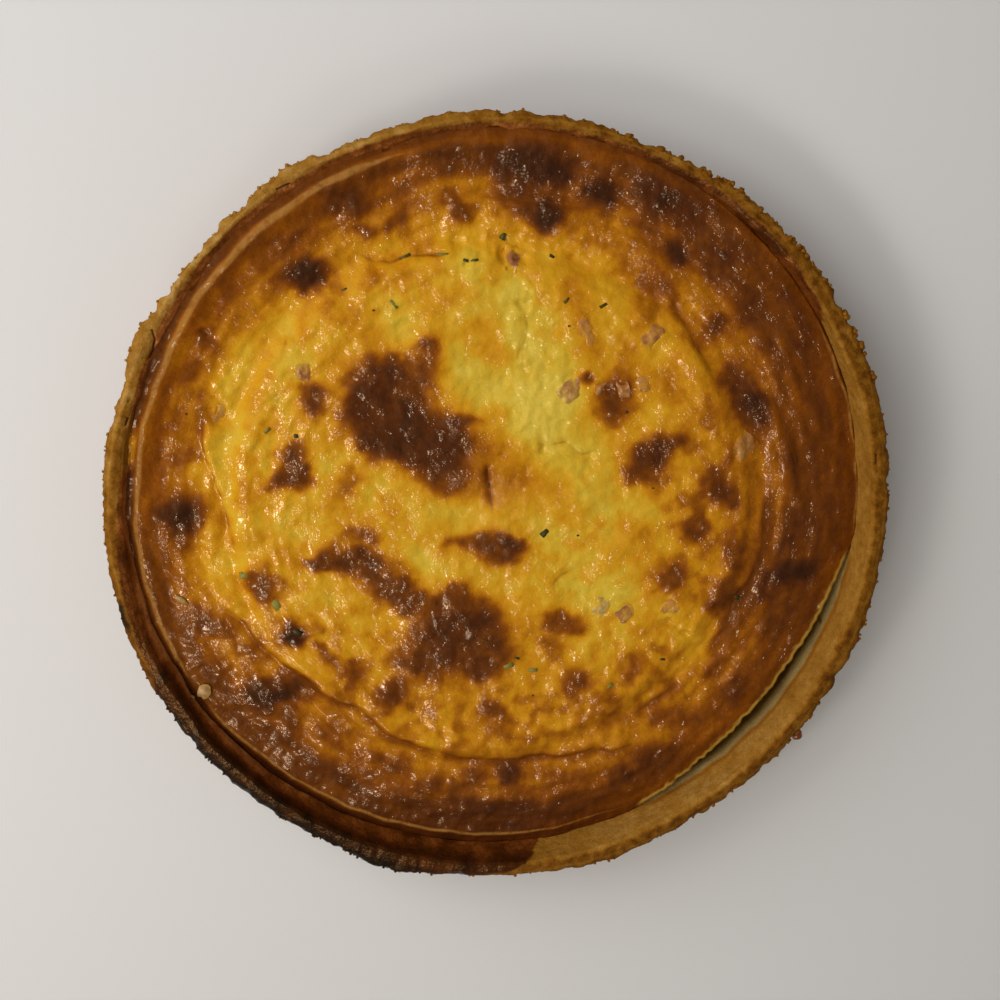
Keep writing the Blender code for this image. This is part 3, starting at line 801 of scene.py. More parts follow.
for vert, place in zip(filling_bm.verts, top):
    vert.co = place
torn = smooth(1.7, 0.9, rim_radius - radius + 0.5 * random_field(top, 3.0, 16)) * smooth(0.2, 1.0, drew_back)
write_numbers(filling_bm, {
    "browning": browning, "wet": wet, "fold_mm": fold_mm, "fold_painted_shade": fold_painted_shade,
    "ridge_mm": ridge_mm, "ridge_width": ridge_width, "side": torn,
})
side_layer = filling_bm.verts.layers.float["side"]
for drop in SIDE_ROWS:
    for vert in pull_out_border(filling_bm):
        facing = math.degrees(math.atan2(vert.co.y, vert.co.x)) % FULL_TURN
        rim = float(rim_height(facing))
        level = max(rim - drop, WALL_FOOT_HEIGHT)
        levels = (WALL_FOOT_HEIGHT, 0.5 * (rim + WALL_FOOT_HEIGHT), rim)
        drawn = float(shrink(facing)) * np.interp(level, levels, (0, HALFWAY_SHARE, 1))
        reach = wall_radius(level) - GAP - drawn
        vert.co = (reach * math.cos(math.radians(facing)), reach * math.sin(math.radians(facing)), level)
        vert[side_layer] = min(1.0, drop) * smooth(0.2, 1.0, float(shrink(facing)))
for reach, level in FOOT_ROWS:
    for vert in pull_out_border(filling_bm):
        flat = Vector((vert.co.x, vert.co.y)).normalized() * reach
        vert.co = (flat.x, flat.y, level)
bmesh.ops.edgeloop_fill(filling_bm, edges=[edge for edge in filling_bm.edges if edge.is_boundary])
bmesh.ops.recalc_face_normals(filling_bm, faces=filling_bm.faces)
print("the filling is closed:", all(edge.is_manifold for edge in filling_bm.edges))

# %% [markdown]
# ## The film of fat
#
# Butter and cream rise while a quiche bakes, and lie on the skin as a film of melted fat. That film is
# what sparkles. It is a clear coat on the shader with a bump of its own, so the custard under it stays
# soft. Its puckers run round the quiche and are about 1.3 mm across; rounder ones of 1.5 mm break them
# up, and both are strong in clumps of 7 mm. Melted butter has an IOR of about 1.46, but so thin and
# uneven a film reflects less than a full layer would, so the coat's is 1.25.

# %% The film of fat
# a pucker is this wide, and this long at the radius FILM_RING
WRINKLE_MM = (1.3, 4.0)
FILM_RING = 90.0
SPARKLE_MM = 1.5
CLUMP_MM = 7.0
FILM_RELIEF_MM = 0.5
FILM_ROUGHNESS = 0.17
FILM_IOR = 1.25


def add_film_of_fat(tree, shader, place, wet):
    """A clear coat with a bump of its own: puckers that run round the quiche, and rounder ones, in clumps."""
    flat = add_node(tree, "ShaderNodeVectorMath", {0: place, 1: (1.0, 1.0, 0.0)}, operation="MULTIPLY")
    reach = add_node(tree, "ShaderNodeVectorMath", {0: flat.outputs[0]}, operation="LENGTH")
    facing = add_node(tree, "ShaderNodeVectorMath", {0: flat.outputs[0]}, operation="NORMALIZE")
    parts = add_node(tree, "ShaderNodeSeparateXYZ", {0: facing.outputs[0]})
    unrolled = add_node(tree, "ShaderNodeCombineXYZ", {
        0: reach.outputs["Value"], 1: parts.outputs[0], 2: parts.outputs[1],
    })
    laid = add_node(tree, "ShaderNodeVectorMath", {
        0: unrolled.outputs[0],
        1: (1.0 / (WRINKLE_MM[0] * MM), FILM_RING / WRINKLE_MM[1], FILM_RING / WRINKLE_MM[1]),
    }, operation="MULTIPLY")
    wrinkles = add_node(tree, "ShaderNodeTexNoise", {
        "Vector": laid.outputs[0], "Scale": 1.0, "Detail": 2.0, "Roughness": 0.45,
    })
    sparkle = add_node(tree, "ShaderNodeTexNoise", {
        "Vector": place, "Scale": 1.0 / (SPARKLE_MM * MM), "Detail": 2.0, "Roughness": 0.45,
    })
    clump = add_node(tree, "ShaderNodeTexNoise", {
        "Vector": place, "Scale": 1.0 / (CLUMP_MM * MM), "Detail": 1.0,
    })
    clumped = add_node(tree, "ShaderNodeMapRange", {
        "Value": clump.outputs["Fac"], "From Min": 0.42, "From Max": 0.58, "To Min": 0.35, "To Max": 1.0,
    }, interpolation_type="SMOOTHSTEP")
    both = add_node(tree, "ShaderNodeMath", {
        0: sparkle.outputs["Fac"], 1: wrinkles.outputs["Fac"],
    }, operation="ADD")
    relief = add_node(tree, "ShaderNodeMath", {0: both.outputs[0], 1: clumped.outputs[0]}, operation="MULTIPLY")
    wet_relief = add_node(tree, "ShaderNodeMath", {0: relief.outputs[0], 1: wet}, operation="MULTIPLY")
    wet_bump = add_node(tree, "ShaderNodeBump", {
        "Height": wet_relief.outputs[0], "Strength": 1.0, "Distance": FILM_RELIEF_MM * MM,
    })
    tree.links.new(wet_bump.outputs[0], shader.inputs["Coat Normal"])
    shader.inputs["Coat Weight"].default_value = 1.0
    shader.inputs["Coat Roughness"].default_value = FILM_ROUGHNESS
    shader.inputs["Coat IOR"].default_value = FILM_IOR


print("puckers of", WRINKLE_MM, "mm, up to", FILM_RELIEF_MM, "mm high")

# %% [markdown]
# ## Baked custard
#
# Custard is eggs and cream: soft yellow inside, and a skin outside that goes through gold, amber and
# red-brown to nearly black. One colour ramp holds that whole range, and the browning picks from it. The
# pale ridge, the brown line in a fold, which is partly painted shade, and the pale side in the gap are
# mixed over it, each by its own attribute. The custard's own gloss is low, because the film of fat above
# it does the shining.

# %% Baked custard material
SKIN_COLOURS = (
    (0.00, "e4c850"), (0.13, "dab433"), (0.26, "d99f1c"), (0.38, "cd8a10"), (0.47, "b06c06"),
    (0.57, "8c4a05"), (0.67, "6e3808"), (0.77, "57290a"), (0.88, "3f1e0b"), (1.00, "27150d"),
)
# the skin is mottled in spots of about 2 mm; its finest specks are under half a millimetre and would not
# show, so they are drawn at 0.8 mm
SKIN_LUMP_MM = 2.2
SKIN_GRAIN_MM = 0.8
# how far the lumps and the grain move the browning
SKIN_LUMP_TONE, SKIN_GRAIN_TONE = 0.11, 0.08

custard, tree, shader = new_material("baked_custard_skin")
place = add_node(tree, "ShaderNodeTexCoord").outputs["Object"]
lump = add_node(tree, "ShaderNodeTexNoise", {
    "Vector": place, "Scale": 1.0 / (SKIN_LUMP_MM * MM), "Detail": 2.0, "Roughness": 0.55,
})
grain = add_node(tree, "ShaderNodeTexNoise", {
    "Vector": place, "Scale": 1.0 / (SKIN_GRAIN_MM * MM), "Detail": 1.5, "Roughness": 0.6,
})
numbers = {
    name: add_node(tree, "ShaderNodeAttribute", attribute_name=name).outputs["Fac"]
    for name in ("browning", "wet", "fold_mm", "fold_painted_shade", "ridge_mm", "ridge_width", "side")
}
coarse = add_node(tree, "ShaderNodeMath", {
    0: lump.outputs["Fac"], 1: SKIN_LUMP_TONE, 2: -0.5 * SKIN_LUMP_TONE,
}, operation="MULTIPLY_ADD")
fine = add_node(tree, "ShaderNodeMath", {
    0: grain.outputs["Fac"], 1: SKIN_GRAIN_TONE, 2: coarse.outputs[0],
}, operation="MULTIPLY_ADD")
uneven = add_node(tree, "ShaderNodeMath", {0: fine.outputs[0], 1: 0.5 * SKIN_GRAIN_TONE}, operation="SUBTRACT")
level = add_node(tree, "ShaderNodeMath", {
    0: numbers["browning"], 1: uneven.outputs[0],
}, operation="ADD", use_clamp=True)
skin = add_node(tree, "ShaderNodeValToRGB", {"Fac": level.outputs[0]})
fill_ramp(skin, SKIN_COLOURS)
print(len(SKIN_COLOURS), "colours from", SKIN_COLOURS[0][1], "to", SKIN_COLOURS[-1][1])

# %% The lines on the skin and the side
LINE_HALF_WIDTH_MM = 0.9
RIDGE_TAN = "aa7838"
FOLD_SHADE_BROWN = "7a420a"
SIDE_YELLOW = "b8923e"
# the pale ridge along the wall, where the skin stretched and tore off the crust
from_ridge = add_node(tree, "ShaderNodeMath", {0: numbers["ridge_mm"]}, operation="ABSOLUTE")
ridge = add_node(tree, "ShaderNodeMapRange", {
    "Value": from_ridge.outputs[0], "From Min": numbers["ridge_width"], "From Max": 0.0,
    "To Min": 0.0, "To Max": 1.0,
}, interpolation_type="SMOOTHSTEP")
has_ridge = add_node(tree, "ShaderNodeMath", {
    0: ridge.outputs[0], 1: numbers["ridge_width"],
}, operation="MULTIPLY", use_clamp=True)
pitted = add_node(tree, "ShaderNodeMapRange", {
    "Value": lump.outputs["Fac"], "From Min": 0.36, "From Max": 0.5, "To Min": 0.4, "To Max": 0.8,
})
ridge_share = add_node(tree, "ShaderNodeMath", {
    0: has_ridge.outputs[0], 1: pitted.outputs[0],
}, operation="MULTIPLY")
with_ridge = add_node(tree, "ShaderNodeMix", {
    0: ridge_share.outputs[0], 6: skin.outputs[0], 7: colour(RIDGE_TAN),
}, data_type="RGBA")

# the thin brown line in a fold: partly browning, partly painted shade in the crease
from_fold = add_node(tree, "ShaderNodeMath", {0: numbers["fold_mm"]}, operation="ABSOLUTE")
groove = add_node(tree, "ShaderNodeMapRange", {
    "Value": from_fold.outputs[0], "From Min": LINE_HALF_WIDTH_MM, "From Max": 0.0,
}, interpolation_type="SMOOTHSTEP")
groove_shade_share = add_node(tree, "ShaderNodeMath", {
    0: groove.outputs[0], 1: numbers["fold_painted_shade"],
}, operation="MULTIPLY", use_clamp=True)
with_fold_shade = add_node(tree, "ShaderNodeMix", {
    0: groove_shade_share.outputs[0], 6: with_ridge.outputs[2], 7: colour(FOLD_SHADE_BROWN),
}, data_type="RGBA")

# the pale side in the gap
with_side = add_node(tree, "ShaderNodeMix", {
    0: numbers["side"], 6: with_fold_shade.outputs[2], 7: colour(SIDE_YELLOW),
}, data_type="RGBA")
tree.links.new(with_side.outputs[2], shader.inputs["Base Color"])
print("lines", 2.0 * LINE_HALF_WIDTH_MM, "mm wide")

# %% Gloss of the custard
SKIN_RELIEF_MM = 0.35
SKIN_ROUGHNESS = 0.5
CUSTARD_IOR = 1.45
GOLDEN_TINT = (1.0, 0.72, 0.42, 1.0)
soft_bump = add_node(tree, "ShaderNodeBump", {
    "Height": lump.outputs["Fac"], "Strength": 1.0, "Distance": SKIN_RELIEF_MM * MM,
})
tree.links.new(soft_bump.outputs[0], shader.inputs["Normal"])
shader.inputs["Roughness"].default_value = SKIN_ROUGHNESS
shader.inputs["IOR"].default_value = CUSTARD_IOR
shader.inputs["Specular IOR Level"].default_value = 0.08
shader.inputs["Specular Tint"].default_value = GOLDEN_TINT
add_film_of_fat(tree, shader, place, numbers["wet"])
greasy = add_node(tree, "ShaderNodeClamp", {"Value": numbers["wet"]})
tree.links.new(greasy.outputs[0], shader.inputs["Coat Weight"])
store(filling_bm, "custard_filling", custard, "custard", "filling")

# %% [markdown]
# ## The shortcrust shell
#
# A shell like this is rolled dough in a smooth ring, trimmed at the top: smooth walls, and a lip whose
# outer edge crumbled when it was cut. It is a profile turned once round. The profile's points stand
# close together on the lip, which shows, and far apart underneath, which doesn't.

# %% Shell profile
SHELL_STEPS = 1180
# (radius, height, spacing of the points up to here)
SHELL_OUTLINE = (
    (0.0, 0.0, 0.0), (124.0, 0.0, 31.0), (BASE_RADIUS, 0.0, 1.0), (BASE_RADIUS + 3.2, 1.0, 1.7),
    (BASE_RADIUS + 4.8, 3.4, 1.5), (wall_radius(17.0) + WALL_THICKNESS, 17.0, 2.4),
    (wall_radius(SIDE_TOP_HEIGHT) + WALL_THICKNESS, SIDE_TOP_HEIGHT, 1.9),
    (LIP_RADIUS - 1.2, LIP_HEIGHT - 1.6, 0.8), (LIP_RADIUS, LIP_HEIGHT, 0.55),
    (LIP_RADIUS - 0.8, LIP_HEIGHT + 1.2, 0.5), (LIP_RADIUS - 2.9, CREST_HEIGHT - 0.4, 0.5),
    (LIP_RADIUS - 5.2, CREST_HEIGHT, 0.55), (wall_radius(CREST_HEIGHT) - 0.1, CREST_HEIGHT - 0.9, 0.55),
    (wall_radius(CREST_HEIGHT - 4.5), CREST_HEIGHT - 4.5, 0.75), (wall_radius(24.0), 24.0, 0.95),
    (wall_radius(16.0), 16.0, 4.0), (WALL_FOOT_RADIUS, WALL_FOOT_HEIGHT, 4.0),
    (WALL_FOOT_RADIUS - 1.0, FLOOR_THICKNESS + 1.0, 2.0), (WALL_FOOT_RADIUS - 3.4, FLOOR_THICKNESS, 2.0),
    (0.0, FLOOR_THICKNESS, 62.0),
)


def spaced(outline):
    """The outline with points added along each stretch, at that stretch's spacing."""
    points = [Vector(outline[0][:2])]
    for *end, spacing in outline[1:]:
        start, end = points[-1], Vector(end)
        count = max(1, round((end - start).length / spacing))
        points += [start.lerp(end, number / count) for number in range(1, count + 1)]
    return points


profile = spaced(SHELL_OUTLINE)
crust_bm = bmesh.new()
chain = [crust_bm.verts.new((point.x, 0.0, point.y)) for point in profile]
edges = [crust_bm.edges.new(pair) for pair in zip(chain, chain[1:])]
bmesh.ops.spin(
    crust_bm, geom=chain + edges, cent=(0, 0, 0), axis=(0, 0, 1), dvec=(0, 0, 0),
    angle=math.tau, steps=SHELL_STEPS, use_merge=True, use_duplicate=False,
)
bmesh.ops.remove_doubles(crust_bm, verts=crust_bm.verts, dist=0.0005)
bmesh.ops.recalc_face_normals(crust_bm, faces=crust_bm.faces)
print(len(profile), "rings in the profile,", len(crust_bm.verts), "points in the shell")

# %% [markdown]
# ## The lip's shape
#
# The trimmed edge bulges and dips slowly round the shell, and it is rough with crumbs on top of that.
# Crumbs are lumps of two or three sizes, so three random fields of different sizes push it in and out.
# The rough part fades out towards the smooth inner wall. Where the custard boiled over the lip, its film
# rounded the inner edge off, so there the edge slumps to meet the filling.

# %% Lip shape
LIP_BULGES = (
    (18, 10, 0.7), (68, 8, -1.3), (97, 8, 0.6), (112, 5, -1.0), (121, 4, 2.0), (141, 5, -0.8), (152, 3, 1.6),
    (164, 6, -0.8), (200, 12, 0.6), (252, 7, 2.4), (286, 5, 1.2), (306, 9, -0.9), (341, 6, 1.1),
)
CRUMBLY = (
    (0, 0.7), (20, 0.9), (30, 1.5), (65, 1.5), (80, 0.9), (100, 0.9), (120, 1.3), (150, 1.2), (170, 0.8),
    (188, 0.8), (200, 0.8), (240, 0.8), (275, 0.6), (300, 0.9), (330, 0.9),
)
CREST_WAVE = 0.45
# the radii between which the crumbly outside and the smooth inner wall begin, and the heights of the top
OUTER_ZONE, INNER_ZONE, UPPER_ZONE = (135.2, 139.0), (134.5, 132.5), (35.0, 38.5)
# how far the inner edge slumps, in mm
FILM_SLUMP = ((38, 0.0), (55, 1.5), (90, 2.2), (115, 2.7), (142, 2.7), (158, 1.8), (198, 1.4), (208, 0.0))
shell = np.array([vert.co[:] for vert in crust_bm.verts])
shell_radius, shell_degrees = polar(shell)
turn = np.radians(shell_degrees)
outward = np.column_stack((np.cos(turn), np.sin(turn)))
outer = smooth(*OUTER_ZONE, shell_radius)
upper = smooth(*UPPER_ZONE, shell[:, 2])
inner = smooth(*INNER_ZONE, shell_radius)
crumbly = by_direction(shell_degrees, CRUMBLY)

bulge = sum(
    amount * bell(turned_from(shell_degrees, direction), width) for direction, width, amount in LIP_BULGES
)
rough = 0.6 * random_field(shell, 6.0, 21) + 0.6 * (0.45 - np.abs(random_field(shell, 3.0, 22)))
rough += 0.15 * random_field(shell, 1.4, 23)
wavy = 0.35 * random_field(shell, 11.0, 24) + 0.1 * random_field(shell, 3.0, 25)
off_the_base = (1.0 - smooth(60.0, 20.0, shell_radius)) * smooth(1.0, 4.0, shell[:, 2])
push = outer * (bulge + crumbly * rough) + (1.0 - outer) * wavy * off_the_base
lift = upper * CREST_WAVE * (np.sin(3.0 * turn + 0.6) + 0.5 * np.sin(7.0 * turn))
lift += upper * (1.0 - inner) * (0.22 * random_field(shell, 4.0, 26) + 0.14 * random_field(shell, 1.8, 27))
slump = by_direction(shell_degrees, FILM_SLUMP) * smooth(138.2, 134.0, shell_radius)
slump *= smooth(32.0, 36.0, shell[:, 2])
shell[:, :2] += push[:, None] * outward
shell[:, 2] += lift - slump

print("lip pushed by", round(float(push.min()), 1), "to", round(float(push.max()), 1), "mm")

# %% Cracks in the lip
# the points of each crack
LIP_CRACKS = (
    ((-120, 69), (-119, 64), (-120, 60), (-122, 56)),
    ((-129, 45), (-128, 41)),
    ((-129, 38), (-131, 33)),
    ((-77, 114), (-73, 116), (-70, 117)),
    ((134, 22), (134, 16)),
)
CRACK_DEPTH, CRACK_WIDTH = 0.9, 0.7
crack_mm = np.full(len(shell), FOLD_REACH)
for line in LIP_CRACKS:
    away, strength = line_distance(shell, line)
    away = np.where(strength > 0.12, away, FOLD_REACH)
    shell[:, 2] -= CRACK_DEPTH * bell(away, CRACK_WIDTH) * upper
    crack_mm = np.where(np.abs(away) < np.abs(crack_mm), away, crack_mm)
crack_mm = np.where(upper > 0.5, crack_mm, FOLD_REACH)
for vert, at in zip(crust_bm.verts, shell):
    vert.co = at
furthest = float(np.hypot(shell[:, 0], shell[:, 1]).max())
smooth_lip = float(shell_radius.max())
print(len(LIP_CRACKS), "cracks; the lip reaches", round(furthest, 1), "mm instead of", round(smooth_lip, 1))

# %% [markdown]
# ## What the oven did to the shell
#
# Raw dough is pale; the lip turned golden, and the edge that stood nearest the heat burnt. Where the
# custard lapped up the wall it left a dark film. The film's upper edge is a radius that changes with
# direction: near nothing on the right, where the wall stayed bare, and over the whole lip lower left.
# All of these are tables of a value by direction.

# %% Shell colouring by direction
FILM_EDGE = (
    (0, 120), (26, 122), (28, 128), (30, 132), (33, 134), (40, 135.2), (50, 136), (67, 136), (80, 136),
    (95, 136.5), (117, 136.8), (135, 136.6), (148, 135.6), (160, 134.6), (166, 133), (167.5, 130),
    (170.5, 130), (172.5, 133.5), (180, 135), (186, 136.6), (192, 137.5), (205, 137.8), (209, 143),
    (259, 143), (262, 140.2), (266, 139.2), (270, 137.8), (272, 136.4), (274.5, 133.6), (277, 130.4),
    (279, 124),
)
# the film is the custard's real skin, but from about 90 to 215 degrees, where the wall faces away from the
# lamps and stands in shade, its tone is kept pale: painted light
FILM_TONE = (
    (30, 0.40), (60, 0.34), (90, 0.10), (120, 0.06), (135, 0.06), (150, 0.06), (166, 0.06), (180, 0.02),
    (192, 0.0), (215, 0.10), (240, 0.32), (262, 0.48), (276, 0.48),
)
# the same on the lip's inner face, paler from about 90 to 180 degrees as painted light too
FILM_LIP_TONE = (
    (30, 0.52), (60, 0.50), (90, 0.40), (120, 0.32), (135, 0.32), (150, 0.30), (166, 0.28), (180, 0.42),
    (192, 0.58), (215, 0.86), (240, 0.84), (262, 0.70), (276, 0.58),
)
CHAR = (
    (191.5, 0.0), (193, 0.9), (196, 0.9), (197.5, 0.0), (206, 0.0), (209, 0.8), (225, 1.0), (252, 1.0),
    (257, 0.7), (261, 0.0),
)
WALL_TOAST = (
    (0, 0.34), (30, 0.34), (60, 0.40), (160, 0.36), (170, 0.30), (200, 0.5), (260, 0.45), (275, 0.30),
    (300, 0.22), (330, 0.24),
)
LIP_TOAST = (
    (0, 0.60), (30, 0.60), (60, 0.60), (85, 0.54), (108, 0.34), (118, 0.26), (135, 0.24), (150, 0.28),
    (165, 0.38), (185, 0.55), (200, 0.70), (230, 0.85), (255, 0.80), (268, 0.60), (285, 0.60), (320, 0.64),
)
CONTACT_STAIN = ((320, 0.3), (324, 0.9), (330, 0.3), (345, 0.4))
over_the_lip = [row for row in FILM_EDGE if row[1] > LIP_RADIUS]
print("the film reaches the lip's outer edge in", len(over_the_lip), "of", len(FILM_EDGE), "directions")

# %% [markdown]
# ## Colouring each point of the shell
#
# Each point gets numbers, not colours: how toasted it is, how far inside the film's edge it lies, how
# dark the film is there, and how burnt. The film ends on the inner side, because nothing ran down the
# outer wall while the tin stood against it.

# %% Shell colouring at each point
NO_FILM = -5.0
OUTER_TOAST = 0.50
# the heights between which the wall's tone becomes the lip's, and the radii between which the char begins
WALL_TO_LIP, CHAR_FROM = (31.5, 39.5), (136.9, 138.6)
# the lip's top begins between these radii and between these heights
LIP_RADII, LIP_HEIGHTS = (133.2, 135.4), (34.0, 37.0)
# a paler line runs round the lip: its radius, half its width and how much paler it is
PALE_LINE_RADIUS, PALE_LINE_WIDTH, PALE_LINE = 138.1, 0.5, 0.16
shell_radius, shell_degrees = polar(shell)
level = shell[:, 2]
outside = (1.0 - smooth(*LIP_HEIGHTS, level)) * smooth(0.0, 1.0, shell_radius - wall_radius(level) - 2.0)
film_mm = by_direction(shell_degrees, FILM_EDGE) - shell_radius + 0.35 * random_field(shell, 5.0, 31)
film_mm = np.where((level > 20.0) & (outside < 0.5), film_mm, NO_FILM)
up_the_wall = smooth(*WALL_TO_LIP, level)
film_tone = by_direction(shell_degrees, FILM_TONE)
film_tone += up_the_wall * (by_direction(shell_degrees, FILM_LIP_TONE) - film_tone)
film_tone += 0.12 * random_field(shell, 7.0, 32)
uneven_radius = shell_radius + 0.7 * random_field(shell, 4.0, 33)
burnt = by_direction(shell_degrees, CHAR) * smooth(*CHAR_FROM, uneven_radius)
on_lip = smooth(*LIP_RADII, shell_radius + 0.4 * random_field(shell, 6.0, 37)) * smooth(*LIP_HEIGHTS, level)
toast = by_direction(shell_degrees, WALL_TOAST)
toast += on_lip * (by_direction(shell_degrees, LIP_TOAST) - toast)
from_line = shell_radius - PALE_LINE_RADIUS - 0.4 * random_field(shell, 8.0, 38)
toast -= PALE_LINE * bell(from_line, PALE_LINE_WIDTH) * smooth(36.0, 37.5, level)
toast += 0.07 * random_field(shell, 9.0, 34) + (0.05 + 0.07 * on_lip) * random_field(shell, 2.6, 35)
outer_toast = OUTER_TOAST + 0.14 * random_field(shell, 14.0, 36) + 0.10 * smooth(8.0, 30.0, level)
toast = np.where(outside > 0.5, outer_toast, toast)
print("film on", round(100.0 * float((film_mm > 0.0).mean())), "% of the shell's points")

# %% [markdown]
# ## The gap
#
# Where the filling drew back, its old edge left a brown line on the wall. Below that line the wall is
# damp and pale, because it was covered while the rest browned, and the bottom of the gap, where shade
# falls, is painted dark: a painted shadow.

# %% The gap at the shrunk side
# in mm: how far above the filling's edge the brown line lies, its width, and how far below it the painted
# shadow begins
CONTACT_ABOVE, CONTACT_WIDTH = 0.6, 0.9
SHADOW_BELOW = (3.8, 5.2)
on_the_inner_face = 1.0 - smooth(0.0, 1.0, shell_radius - wall_radius(level) - 1.5)
drawn_back = smooth(0.3, 1.5, shrink(shell_degrees)) * on_the_inner_face
below_edge = edge_height(shell_degrees) - level + 0.3 * random_field(shell, 4.0, 39)
stained = by_direction(shell_degrees, CONTACT_STAIN) * random_field(shell, 9.0, 40)
contact = drawn_back * bell(below_edge + CONTACT_ABOVE, CONTACT_WIDTH + np.maximum(stained, 0.0))
damp = drawn_back * smooth(0.2, 1.0, below_edge)
painted_gap_shadow = drawn_back * smooth(*SHADOW_BELOW, below_edge + 0.8 * random_field(shell, 2.4, 41))
write_numbers(crust_bm, {
    "toast": np.clip(toast, 0.0, 1.0), "film_mm": np.clip(film_mm, -6.0, 6.0),
    "film_tone": np.clip(film_tone, 0.0, 1.0), "burnt": burnt, "crack_mm": crack_mm, "contact": contact,
    "damp": damp, "painted_gap_shadow": painted_gap_shadow,
})
print("the gap's wall is", round(100.0 * float(drawn_back.mean()), 1), "% of the shell's points")

# %% [markdown]
# ## Shortcrust
#
# Shortcrust is flour and butter: dry, sandy and matt. Its colour runs from sand to golden brown to dark
# brown, so again one ramp and one number. The film on the wall is the custard's skin: dark red-brown and
# shinier. Real crumb is finer than half a millimetre and would not show, so the grain is drawn coarser,
# at 0.9 mm, with lumps of 2.5 mm.

# %% Shortcrust material
CRUST_COLOURS = (
    (0.0, "b58d4c"), (0.2, "a5762f"), (0.4, "93641f"), (0.55, "835210"), (0.7, "6c4009"), (0.85, "54300a"),
    (1.0, "2e1a0b"),
)
# the palest film colours are the painted light on the shaded left of the wall
FILM_COLOURS = (
    (0.0, "c07c40"), (0.15, "a86430"), (0.3, "824618"), (0.55, "54290a"), (0.8, "341806"), (1.0, "1a0d05"),
)
CRUMB_MM = 0.9
CRUMB_LUMP_MM = 2.5
# how far the lumps and the crumb move the toasting
CRUMB_LUMP_TONE, CRUMB_TONE = 0.36, 0.30

shortcrust, tree, shader = new_material("shortcrust_baked")
place = add_node(tree, "ShaderNodeTexCoord").outputs["Object"]
lump = add_node(tree, "ShaderNodeTexNoise", {
    "Vector": place, "Scale": 1.0 / (CRUMB_LUMP_MM * MM), "Detail": 2.0, "Roughness": 0.6,
})
crumb = add_node(tree, "ShaderNodeTexNoise", {
    "Vector": place, "Scale": 1.0 / (CRUMB_MM * MM), "Detail": 2.0, "Roughness": 0.6,
})
numbers = {
    name: add_node(tree, "ShaderNodeAttribute", attribute_name=name).outputs["Fac"]
    for name in ("toast", "film_mm", "film_tone", "burnt", "crack_mm", "contact", "damp", "painted_gap_shadow")
}
coarse = add_node(tree, "ShaderNodeMath", {
    0: lump.outputs["Fac"], 1: CRUMB_LUMP_TONE, 2: -0.5 * CRUMB_LUMP_TONE,
}, operation="MULTIPLY_ADD")
fine = add_node(tree, "ShaderNodeMath", {
    0: crumb.outputs["Fac"], 1: CRUMB_TONE, 2: -0.5 * CRUMB_TONE,
}, operation="MULTIPLY_ADD")
uneven = add_node(tree, "ShaderNodeMath", {0: coarse.outputs[0], 1: fine.outputs[0]}, operation="ADD")
toasted = add_node(tree, "ShaderNodeMath", {
    0: numbers["toast"], 1: uneven.outputs[0],
}, operation="ADD", use_clamp=True)
dough = add_node(tree, "ShaderNodeValToRGB", {"Fac": toasted.outputs[0]})
fill_ramp(dough, CRUST_COLOURS)
toned = add_node(tree, "ShaderNodeMath", {
    0: numbers["film_tone"], 1: uneven.outputs[0],
}, operation="ADD", use_clamp=True)
film = add_node(tree, "ShaderNodeValToRGB", {"Fac": toned.outputs[0]})
fill_ramp(film, FILM_COLOURS)
film_rough = add_node(tree, "ShaderNodeMath", {
    0: coarse.outputs[0], 1: 3.0, 2: numbers["film_mm"],
}, operation="MULTIPLY_ADD")
covered = add_node(tree, "ShaderNodeMapRange", {
    "Value": film_rough.outputs[0], "From Min": -0.5, "From Max": 0.5,
}, interpolation_type="SMOOTHSTEP")
with_film = add_node(tree, "ShaderNodeMix", {
    0: covered.outputs[0], 6: dough.outputs[0], 7: film.outputs[0],
}, data_type="RGBA")
print(len(CRUST_COLOURS), "colours of dough and", len(FILM_COLOURS), "of film")

# %% Burnt edge, cracks and gap on the shell
CHAR_BLACK = "130c08"
# the lip's cracks are painted this dark brown: painted shade in them
CRACK_SHADE_BROWN = "4a2208"
DAMP_DOUGH = "a8925c"
# the painted shadow at the bottom of the gap
GAP_SHADOW_BROWN = "5c430f"
CONTACT_BROWN = "8e5410"
black = add_node(tree, "ShaderNodeMath", {
    0: numbers["burnt"], 1: uneven.outputs[0],
}, operation="ADD", use_clamp=True)
with_char = add_node(tree, "ShaderNodeMix", {
    0: black.outputs[0], 6: with_film.outputs[2], 7: colour(CHAR_BLACK),
}, data_type="RGBA")
# painted shade in the lip's cracks
from_crack = add_node(tree, "ShaderNodeMath", {0: numbers["crack_mm"]}, operation="ABSOLUTE")
crack = add_node(tree, "ShaderNodeMapRange", {
    "Value": from_crack.outputs[0], "From Min": 0.6, "From Max": 0.1,
}, interpolation_type="SMOOTHSTEP")
with_crack_shade = add_node(tree, "ShaderNodeMix", {
    0: crack.outputs[0], 6: with_char.outputs[2], 7: colour(CRACK_SHADE_BROWN),
}, data_type="RGBA")
with_damp = add_node(tree, "ShaderNodeMix", {
    0: numbers["damp"], 6: with_crack_shade.outputs[2], 7: colour(DAMP_DOUGH),
}, data_type="RGBA")
with_gap_shadow = add_node(tree, "ShaderNodeMix", {
    0: numbers["painted_gap_shadow"], 6: with_damp.outputs[2], 7: colour(GAP_SHADOW_BROWN),
}, data_type="RGBA")
with_contact = add_node(tree, "ShaderNodeMix", {
    0: numbers["contact"], 6: with_gap_shadow.outputs[2], 7: colour(CONTACT_BROWN),
}, data_type="RGBA")
tree.links.new(with_contact.outputs[2], shader.inputs["Base Color"])
print("five colours laid over the dough, from", CHAR_BLACK, "to", CONTACT_BROWN)

